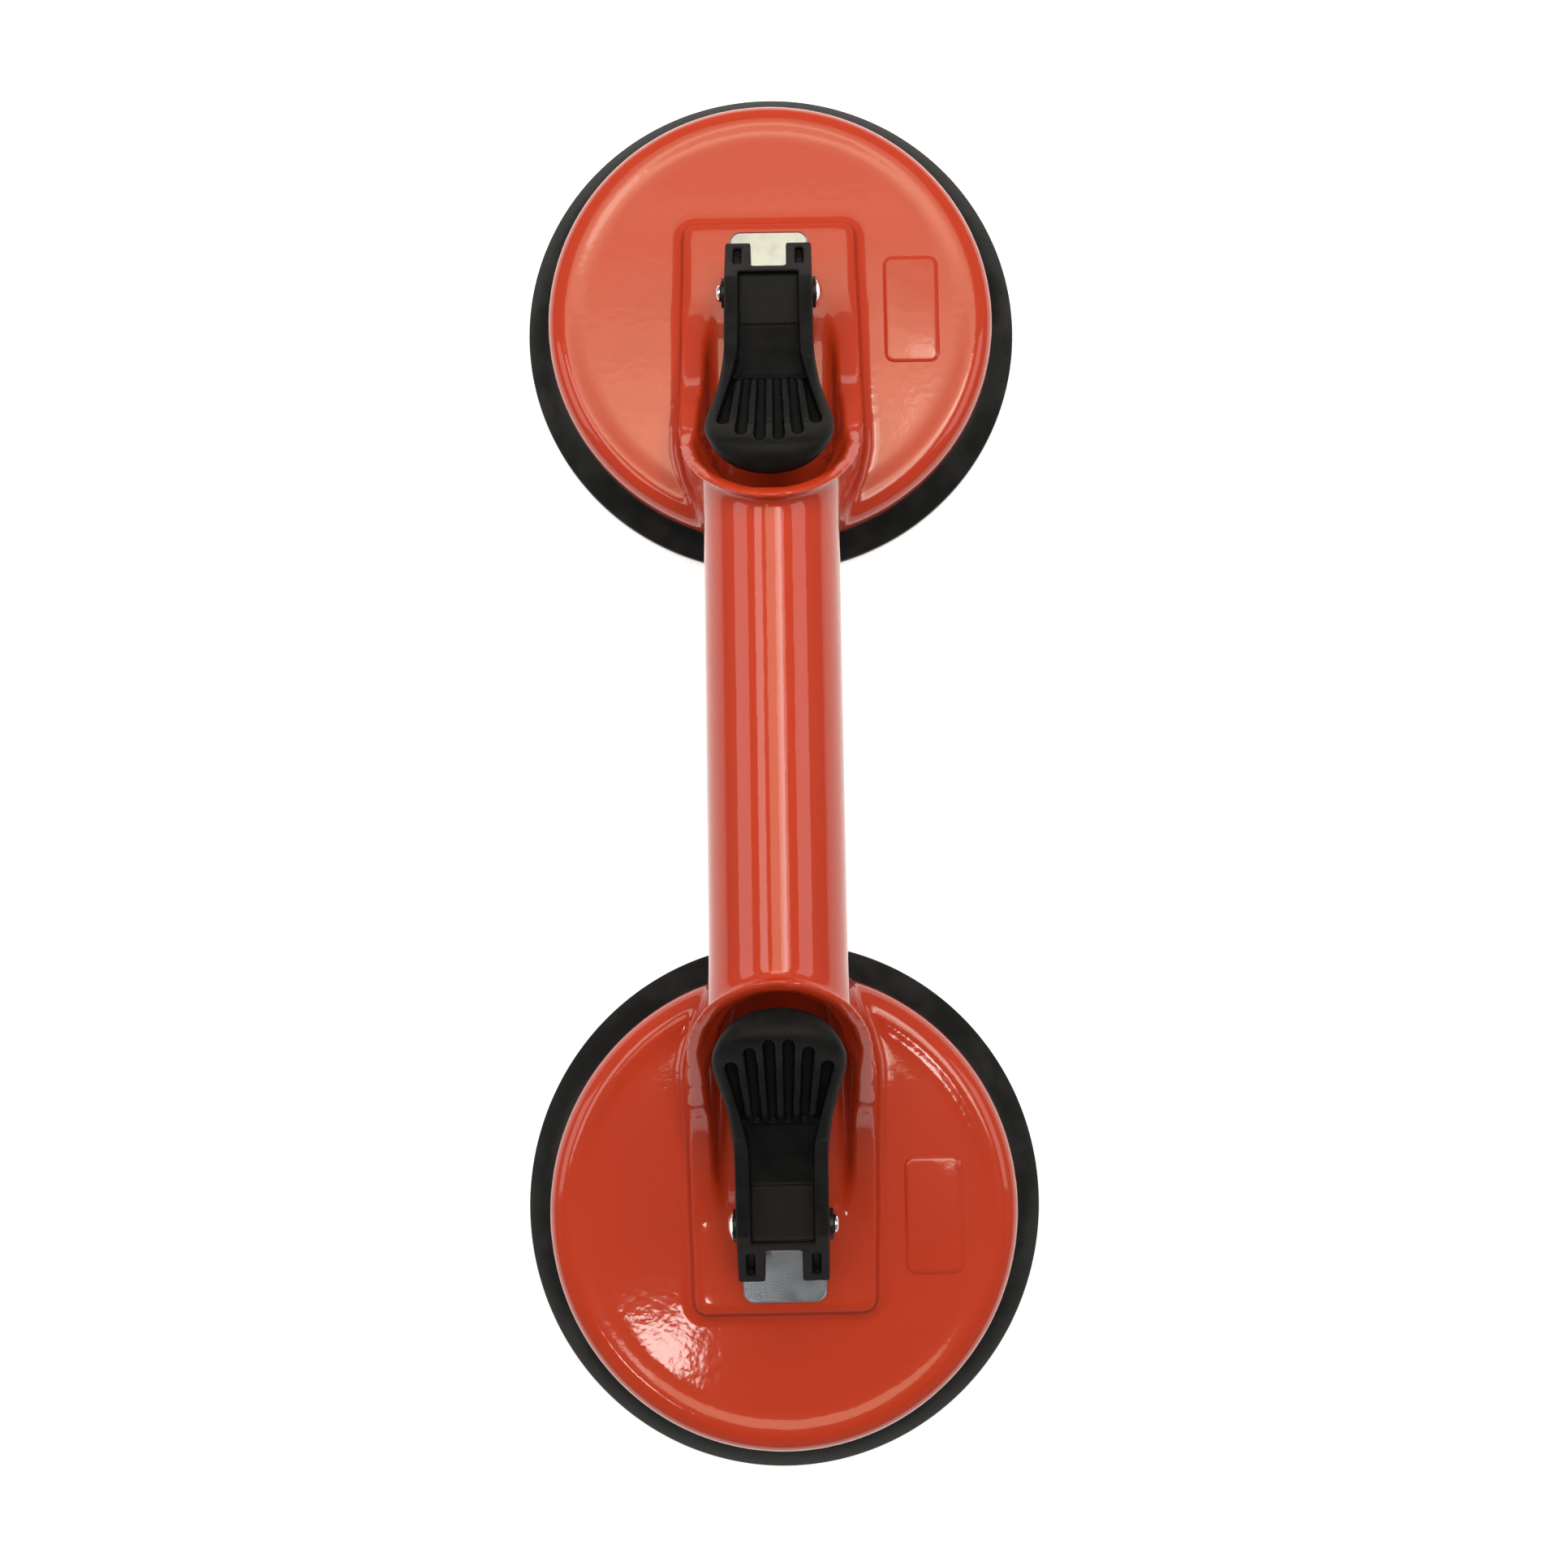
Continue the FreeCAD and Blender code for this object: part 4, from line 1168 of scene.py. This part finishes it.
@dataclass
class Lever:
    """The moulded cam lever with its notch, trough, ribs and round tip."""

    finish: bpy.types.Material
    pin_height: float = 36.0
    plate_top: float = 21.5
    cam_gap: float = 0.2
    travel: float = 2.5
    opening: float = 60.0
    half: float = 10.0
    wall: float = 3.1
    toe: float = 12.3
    crease: tuple[float, float] = (0.9, 10.0)
    pin_hole: float = 2.05
    eye_room: float = 4.9
    notch_half: float = 4.1
    notch_end: float = 4.5
    bar: float = 1.9
    floor: float = 6.2
    rib_count: int = 5
    rib_pitch: float = 3.35
    rib_width: float = 1.45
    rib_fan: float = 1.21
    trough_half: float = 8.35
    trough_end_half: float = 11.45
    groove_start: float = -24.4
    groove_end: float = -41.1
    groove_bow: float = 0.8
    groove_low: float = 12.6
    groove_low_at: float = -24.0
    groove_slope: float = 0.72
    # y and z from the pin: the back before the grip, and the heel behind the cam
    back_line: Outline = ((-7.0, 13.3), (-14.5, 16.0), (-20.0, 17.8))
    heel_start: float = -8.0
    heel_line: Outline = ((-10.6, -13.2), (-12.1, -10.8), (-12.6, -8.0), (-15.8, -1.6),
                          (-20.0, 4.5))
    toe_edge: float = 1.3
    # y and z of the top, y and z of the bottom, half width and squareness, from the pin
    stations: tuple[tuple[float, ...], ...] = (
        (-15.0, 16.2, -14.5, -4.2, 10.0, 9.0),
        (-20.0, 17.8, -19.0, 3.1, 10.35, 8.0),
        (-26.0, 20.1, -24.2, 8.3, 11.2, 7.0),
        (-31.5, 23.2, -28.9, 12.2, 12.6, 6.0),
        (-36.0, 26.5, -33.0, 15.6, 13.9, 5.0),
        (-39.4, 29.8, -36.4, 18.3, 14.1, 3.6),
        (-42.4, 32.0, -39.9, 20.4, 13.0, 2.9),
        (-45.2, 31.7, -43.3, 22.6, 10.9, 2.6),
        (-47.1, 30.0, -45.9, 24.4, 8.0, 2.4),
        (-48.1, 28.4, -47.6, 26.0, 4.6, 2.2),
        (-48.5, 27.4, -48.4, 27.0, 0.8, 2.0),
    )
    station_steps: int = 3
    ring_steps: int = 96
    # x and y of the side walls' inside, from the straight part to the outer grooves' ends
    wall_straight: float = -16.0
    wall_waist: tuple[float, float] = (7.5, -20.8)
    wall_back: Outline = ((9.7, -30.5), (11.1, -36.0))
    wall_end: float = -38.0
    wall_overlap: float = 1.0
    # y and z of the trough's floor from the pin, behind its small step
    step_front: float = -9.0
    step_back: float = -9.3
    step_depth: float = 0.6
    trough_line: Outline = ((-15.0, 7.2), (-22.5, 11.5), (-25.5, 18.0), (-36.0, 25.2),
                            (-39.0, 30.5))
    eye_reach: float = 4.3
    core_x: tuple[float, float] = (6.2, 8.1)
    core_y: tuple[float, float] = (5.1, 10.5)
    core_depth: float = 3.0
    voxel: float = 0.36
    smoothing: int = 3

    def cam(self) -> list[tuple[float, float]]:
        """Draws the cam: the involute that lifts the stud evenly as the lever turns.

        Returns:
            The y and z of its points from the pin, in order.
        """
        height = self.pin_height - self.plate_top - self.cam_gap
        slope = self.travel / math.radians(self.opening)
        points = []
        for step in range(SWEEP_STEPS + 1):
            angle = math.radians(self.opening * step / SWEEP_STEPS)
            normal = angle - math.pi / 2
            radius = height - slope * angle
            points.append((radius * math.cos(normal) + slope * math.sin(normal),
                           radius * math.sin(normal) - slope * math.cos(normal)))
        return points

    def front(self) -> bpy.types.Mesh:
        """Makes the part round the pin, from the toe to where the grip begins.

        Returns:
            A closed mesh.
        """
        cam = self.cam()
        last = cam[-1]
        toe_low = last[1] + (self.toe - last[0]) / math.tan(math.radians(90 - self.opening))
        top = smooth_path([self.crease, *self.back_line], SMALL_STEPS)
        heel = [(self.heel_start, cam[0][1]), *self.heel_line]
        outline = [(self.toe, toe_low + self.toe_edge), *top, *reversed(heel), *cam,
                   (self.toe, toe_low)]
        shifted = [(y, z + self.pin_height) for y, z in outline]
        return Bench.across(shifted, self.half)

    def grip(self) -> bpy.types.Mesh:
        """Makes the spreading grip with its round tip.

        Returns:
            A closed mesh.
        """
        rings = []
        path = smooth_path(self.stations, self.station_steps)
        for top_y, top_z, bottom_y, bottom_z, half, square in path:
            top = Vector((0, top_y, top_z))
            bottom = Vector((0, bottom_y, bottom_z))
            middle = (top + bottom) / 2
            rise = (top - bottom) / 2
            ring = []
            for step in range(self.ring_steps):
                angle = 2 * math.pi * step / self.ring_steps
                sideways = abs(math.cos(angle)) ** (2 / square) * math.copysign(1, math.cos(angle))
                up = abs(math.sin(angle)) ** (2 / square) * math.copysign(1, math.sin(angle))
                ring.append(middle + rise * up + Vector((half * sideways, 0, self.pin_height)))
            rings.append(ring)
        return Bench.lofted(rings)

    def walls(self, front: float, back: float) -> list[tuple[float, float]]:
        """Draws the inside of the side walls from above, which runs on into the outer grooves.

        Args:
            front: its front end.
            back: its back end.

        Returns:
            The points, round the outline.
        """
        inside = self.half - self.wall
        right = smooth_path([(inside, front), (inside, self.wall_straight), self.wall_waist,
                             (self.trough_half, self.groove_start), *self.wall_back,
                             (self.trough_end_half, back)], SMALL_STEPS)
        return right + [(-x, y) for x, y in reversed(right)]

    def trough(self) -> bpy.types.Mesh:
        """Makes the hollow between the side walls, up to the ribs.

        Returns:
            A closed mesh.
        """
        front = self.notch_end - self.bar
        profile = [(front, self.floor), (self.step_front, self.floor),
                   (self.step_back, self.floor - self.step_depth), *self.trough_line,
                   (self.trough_line[-1][0], FAR), (front, FAR)]
        shifted = [(y, z + self.pin_height) for y, z in profile]
        outline = Bench.upright(self.walls(front + self.wall_overlap, self.wall_end), 0, 2 * FAR)
        return Bench.joined(Bench.across(shifted, FAR), [(Join.KEEP_COMMON, outline)])

    def grooves(self) -> list[bpy.types.Mesh]:
        """Makes the grooves that leave the ribs standing, fanned out towards the tip.

        Returns:
            A closed mesh for each groove.
        """
        fanned = self.rib_pitch * self.rib_fan
        made = []
        for number in range(self.rib_count + 1):
            place = number - self.rib_count / 2
            ends = []
            for pitch, limit, y in (
                    (self.rib_pitch, self.trough_half, self.groove_start),
                    (fanned, self.trough_end_half, self.groove_end + self.groove_bow * place ** 2)):
                inner = (abs(place) - 0.5) * pitch + self.rib_width / 2
                outer = min(inner + pitch - self.rib_width, limit)
                ends.append(((math.copysign((inner + outer) / 2, place), y), (outer - inner) / 2))
            (start, narrow), (end, wide) = ends
            turn = math.degrees(math.atan2(end[0] - start[0], start[1] - end[1]))
            outline = [*arc_points(start, narrow, turn, turn + 180, SMALL_STEPS),
                       *arc_points(end, wide, turn + 180, turn + 360, SMALL_STEPS)]
            low = [Vector((x, y, self.pin_height + self.groove_floor(y))) for x, y in outline]
            high = [Vector((x, y, self.pin_height + FAR)) for x, y in outline]
            made.append(Bench.lofted([low, high]))
        return made

    def groove_floor(self, y: float) -> float:
        """Returns how high the grooves' floor lies over the pin at a position."""
        return self.groove_low + (self.groove_low_at - y) * self.groove_slope

    def mesh(self) -> bpy.types.Mesh:
        """Joins the parts of the lever and takes out its hollows and holes.

        Returns:
            The mesh, in the cup's own frame and in millimetres.
        """
        pin = self.pin_height
        across = Vector((FAR, 0, 0))
        centre = Vector((0, 0, pin))
        swept = (self.eye_reach / math.sin(math.radians(self.opening))
                 - self.notch_end / math.tan(math.radians(self.opening)))
        half = self.notch_half
        cuts = [
            self.trough(),
            *self.grooves(),
            Bench.rod(self.eye_room, centre - Vector((half, 0, 0)), centre + Vector((half, 0, 0))),
            Bench.across([(-self.eye_room, 0), (self.notch_end, 0), (self.notch_end, pin + swept),
                          (0, pin + swept), (0, pin), (-self.eye_room, pin)], half),
            Bench.across([(self.notch_end, 0), (FAR, 0), (FAR, FAR), (self.notch_end, FAR)], half),
            *self.core_holes(),
            Bench.rod(self.pin_hole, centre - across, centre + across),
        ]
        steps = [(Join.ADD, self.grip()), *((Join.CUT, cut) for cut in cuts)]
        return Bench.joined(self.front(), steps, self.voxel, self.smoothing)

    def core_holes(self) -> list[bpy.types.Mesh]:
        """Makes the two square moulding holes in the sloping face of the toe.

        Returns:
            A closed mesh for each hole.
        """
        slope = self.crease[1] / (self.toe - self.crease[0])
        near, far = self.core_x
        back, front = self.core_y
        made = []
        for way in (-1, 1):
            low = [Vector((way * x, y, self.pin_height + (self.toe - y) * slope - self.core_depth))
                   for x, y in ((near, back), (far, back), (far, front), (near, front))]
            made.append(Bench.extruded(low, Vector((0, 0, FAR))))
        return made

    def build(self) -> list[bpy.types.Object]:
        """Places both levers on their own bodies.

        Returns:
            The two pieces.
        """
        mesh = self.mesh()
        pieces = []
        for cup in Cup:
            piece = Bench.piece(cup.named("moulded_lever"), [mesh], cup.place(), self.finish)
            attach(piece, cup.named("cam_lever"))
            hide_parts(cup.named("lever"))
            pieces.append(piece)
        return pieces


@dataclass
class Hardware:
    """The small steel pieces, kept as they are packed, apart from the welded pivot pins."""

    finishes: Finishes
    weld: float = 1e-6
    sharpest: float = 30.0

    def dress(self) -> int:
        """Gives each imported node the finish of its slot.

        Returns:
            How many nodes were dressed.
        """
        slots = {part["node"]: part["material_slot"] for part in frame["record"]["subparts"]}
        for name, node in frame["nodes"].items():
            node.data.materials.clear()
            node.data.materials.append(self.finishes.by_slot[slots[name]])
        return len(frame["nodes"])

    def pins(self) -> list[bpy.types.Object]:
        """Makes the pivot pins again with welded faces, so that their round sides shade smoothly.

        Returns:
            The two pieces.
        """
        pieces = []
        for cup in Cup:
            packed = frame["nodes"][cup.named("pivot_pin")]
            bm = bmesh.new()
            bm.from_mesh(packed.data)
            bmesh.ops.transform(bm, matrix=packed.matrix_world, verts=bm.verts)
            bmesh.ops.remove_doubles(bm, verts=bm.verts, dist=self.weld)
            mesh = Bench.finished(bm, "pin")
            piece = Bench.piece(cup.named("pin"), [mesh], Matrix.Identity(4),
                                self.finishes.by_slot["pin_steel"])
            piece.data.set_sharp_from_angle(angle=math.radians(self.sharpest))
            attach(piece, cup.named("pull_rod"))
            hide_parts(packed.name)
            pieces.append(piece)
        return pieces


@dataclass(frozen=True)
class Softbox:
    """A rectangular lamp over the tool."""

    name: str
    place: tuple[float, float, float]
    size: tuple[float, float]
    level: float
    colour: tuple[float, float, float] = (1.0, 0.97, 0.92)
    target: tuple[float, float, float] = (0.0, 0.0, 0.03)
    mirrored: bool = True

    def build(self) -> bpy.types.Object:
        """Hangs the lamp and turns it to its target. Its level is what a mirror shows of it.

        Returns:
            The lamp.
        """
        lamp = bpy.data.lights.new(self.name, "AREA")
        lamp.shape = "RECTANGLE"
        lamp.size, lamp.size_y = self.size
        lamp.color = self.colour
        lamp.energy = self.level * math.pi * self.size[0] * self.size[1]
        made = bpy.data.objects.new(self.name, lamp)
        made.visible_glossy = self.mirrored
        bpy.context.scene.collection.objects.link(made)
        aim = Vector(self.target) - Vector(self.place)
        sideways = Vector((0, 1, 0)).cross(-aim).normalized()
        up = (-aim).cross(sideways).normalized()
        made.matrix_world = Matrix.Translation(self.place) @ Matrix(
            (sideways, up, -aim.normalized())).transposed().to_4x4()
        return made


@dataclass
class Studio:
    """The white floor, the lamps, the surroundings and the camera."""

    # height, from the horizon to overhead, and brightness of each stop of the surround
    sky: Outline = ((0.02, 0.26), (0.30, 0.32), (0.45, 0.32), (0.90, 0.12))
    warm: tuple[float, float, float] = (1.0, 0.88, 0.60)
    band_width: float = 0.44
    # start, end and level of each strip of the panel whose brightness falls off over the top cup
    bands: tuple[tuple[float, float, float], ...] = (
        (0.25, 0.31, 5.4), (0.31, 0.35, 4.6), (0.35, 0.39, 3.4), (0.39, 0.43, 2.5),
        (0.43, 0.48, 1.9), (0.48, 0.66, 1.6))
    floor_size: float = 8.0
    floor_level: float = -0.0001
    floor_glow: float = 0.60
    camera_place: tuple[float, float, float] = (5.788, -32.198, 485.666)
    camera_turn: tuple[float, float, float] = (-6.925, 0.6085, 0.9872)
    focal_pixels: float = 2461.5
    principal_point: tuple[float, float] = (1011.64, 795.52)
    sensor_width: float = 36.0

    def lamps(self) -> list[Softbox]:
        """Lists the lamps, named for where they hang.

        Returns:
            The lamps, not yet hung.
        """
        lamps = [
            Softbox("strip_left", (-0.38, 0.08, 1.0), (0.24, 0.50), 3.6),
            Softbox("strip_right", (0.21, 0.08, 1.0), (0.24, 0.50), 3.0),
            Softbox("strip_core", (0.205, 0.08, 1.0), (0.10, 0.50), 5.0),
            Softbox("wing_left", (-1.20, 0.08, 0.95), (0.65, 0.60), 2.2),
            Softbox("wing_right", (0.95, 0.08, 0.95), (0.55, 0.60), 2.2),
            Softbox("centre_panel", (0.0, 0.078, 1.0), (0.30, 0.345), 3.0, self.warm),
            Softbox("low_panel", (0.0, -0.125, 1.0), (0.30, 0.06), 3.0, self.warm),
            Softbox("corner_lamp", (-0.104, -0.352, 1.0), (0.050, 0.038), 18.0),
            Softbox("fill", (0.0, 0.35, 0.5), (0.50, 0.30), 3.2, target=(0.0, 0.1, 0.0),
                    mirrored=False),
        ]
        for number, (start, end, level) in enumerate(self.bands):
            lamps.append(Softbox(f"band_{number}", (0.0, (start + end) / 2, 1.0),
                                 (self.band_width, end - start), level, self.warm))
        return lamps

    def floor(self) -> None:
        """Lays a white floor that keeps the tool's shadow."""
        recipe = Recipe("white_floor")
        recipe.plain(Roughness=0.9, Specular_IOR_Level=0.0)
        recipe.surface.inputs["Base Color"].default_value = (0.8, 0.8, 0.8, 1.0)
        rays = recipe.add("ShaderNodeLightPath")
        seen = recipe.add("ShaderNodeMath", operation="MAXIMUM")
        recipe.link(rays.outputs["Is Camera Ray"], seen.inputs[0])
        recipe.link(rays.outputs["Is Glossy Ray"], seen.inputs[1])
        also = recipe.add("ShaderNodeMath", operation="MAXIMUM")
        recipe.link(seen.outputs[0], also.inputs[0])
        recipe.link(rays.outputs["Is Transmission Ray"], also.inputs[1])
        level = recipe.ranged(also.outputs[0], 0.0, self.floor_glow)
        recipe.feed("Emission Strength", level)
        recipe.surface.inputs["Emission Color"].default_value = (1.0, 1.0, 1.0, 1.0)
        bm = bmesh.new()
        bmesh.ops.create_grid(bm, x_segments=1, y_segments=1, size=self.floor_size / 2)
        bmesh.ops.translate(bm, verts=bm.verts, vec=(0, 0, self.floor_level))
        mesh = bpy.data.meshes.new("floor")
        bm.to_mesh(mesh)
        bm.free()
        mesh.materials.append(recipe.material)
        made = bpy.data.objects.new("floor", mesh)
        bpy.context.scene.collection.objects.link(made)

    def world(self) -> None:
        """Sets a grey surround, a little lighter above the horizon and dim overhead."""
        world = bpy.data.worlds.new("surround")
        world.use_nodes = True
        tree = world.node_tree
        background = tree.nodes["Background"]
        place = tree.nodes.new("ShaderNodeTexCoord")
        split = tree.nodes.new("ShaderNodeSeparateXYZ")
        ramp = tree.nodes.new("ShaderNodeValToRGB")
        while len(ramp.color_ramp.elements) < len(self.sky):
            ramp.color_ramp.elements.new(1.0)
        for element, (height, level) in zip(ramp.color_ramp.elements, self.sky):
            element.position = height
            element.color = (level, level, level, 1.0)
        tree.links.new(place.outputs["Generated"], split.inputs[0])
        tree.links.new(split.outputs["Z"], ramp.inputs["Fac"])
        tree.links.new(ramp.outputs["Color"], background.inputs["Color"])
        background.inputs["Strength"].default_value = 1.0
        bpy.context.scene.world = world

    def camera(self) -> None:
        """Sets the camera where the photograph was taken from."""
        data = bpy.data.cameras.new("camera")
        data.sensor_width = self.sensor_width
        data.lens = self.focal_pixels * self.sensor_width / IMAGE_WIDTH
        data.shift_x = (IMAGE_WIDTH / 2 - self.principal_point[0]) / IMAGE_WIDTH
        data.shift_y = (self.principal_point[1] - IMAGE_HEIGHT / 2) / IMAGE_WIDTH
        data.clip_start = 0.01
        made = bpy.data.objects.new("camera", data)
        bpy.context.scene.collection.objects.link(made)
        turn = Matrix.Identity(4)
        for angle, axis in zip(self.camera_turn, "XYZ"):
            turn = turn @ Matrix.Rotation(-math.radians(angle), 4, axis)
        made.matrix_world = Matrix.Translation(Vector(self.camera_place) * MILLIMETRE) @ turn
        bpy.context.scene.camera = made

    def build(self) -> None:
        """Makes the floor, the surroundings, the lamps and the camera."""
        self.floor()
        self.world()
        for lamp in self.lamps():
            lamp.build()
        self.camera()
        bpy.context.scene.view_settings.view_transform = "Standard"


def main() -> None:
    """Builds every piece and the studio, in order."""
    logging.basicConfig(level=logging.INFO, format="%(name)s: %(message)s")
    finishes = Finishes(SharedEffects())
    hardware = Hardware(finishes)
    log.info("%d packed nodes dressed", hardware.dress())
    builders: list[Callable[[], list[bpy.types.Object]]] = [
        hardware.pins,
        Casting(finishes.by_slot["orange_paint"]).build,
        Lever(finishes.by_slot["lever_plastic"]).build,
        *(Pad(finishes.by_slot["pad_rubber"], cup).build for cup in Cup),
    ]
    for build in builders:
        for piece in build():
            log.info("%s: %d faces", piece.name, len(piece.data.polygons))
    Studio().build()
    log.info("studio ready")


if __name__ == "__main__":
    main()
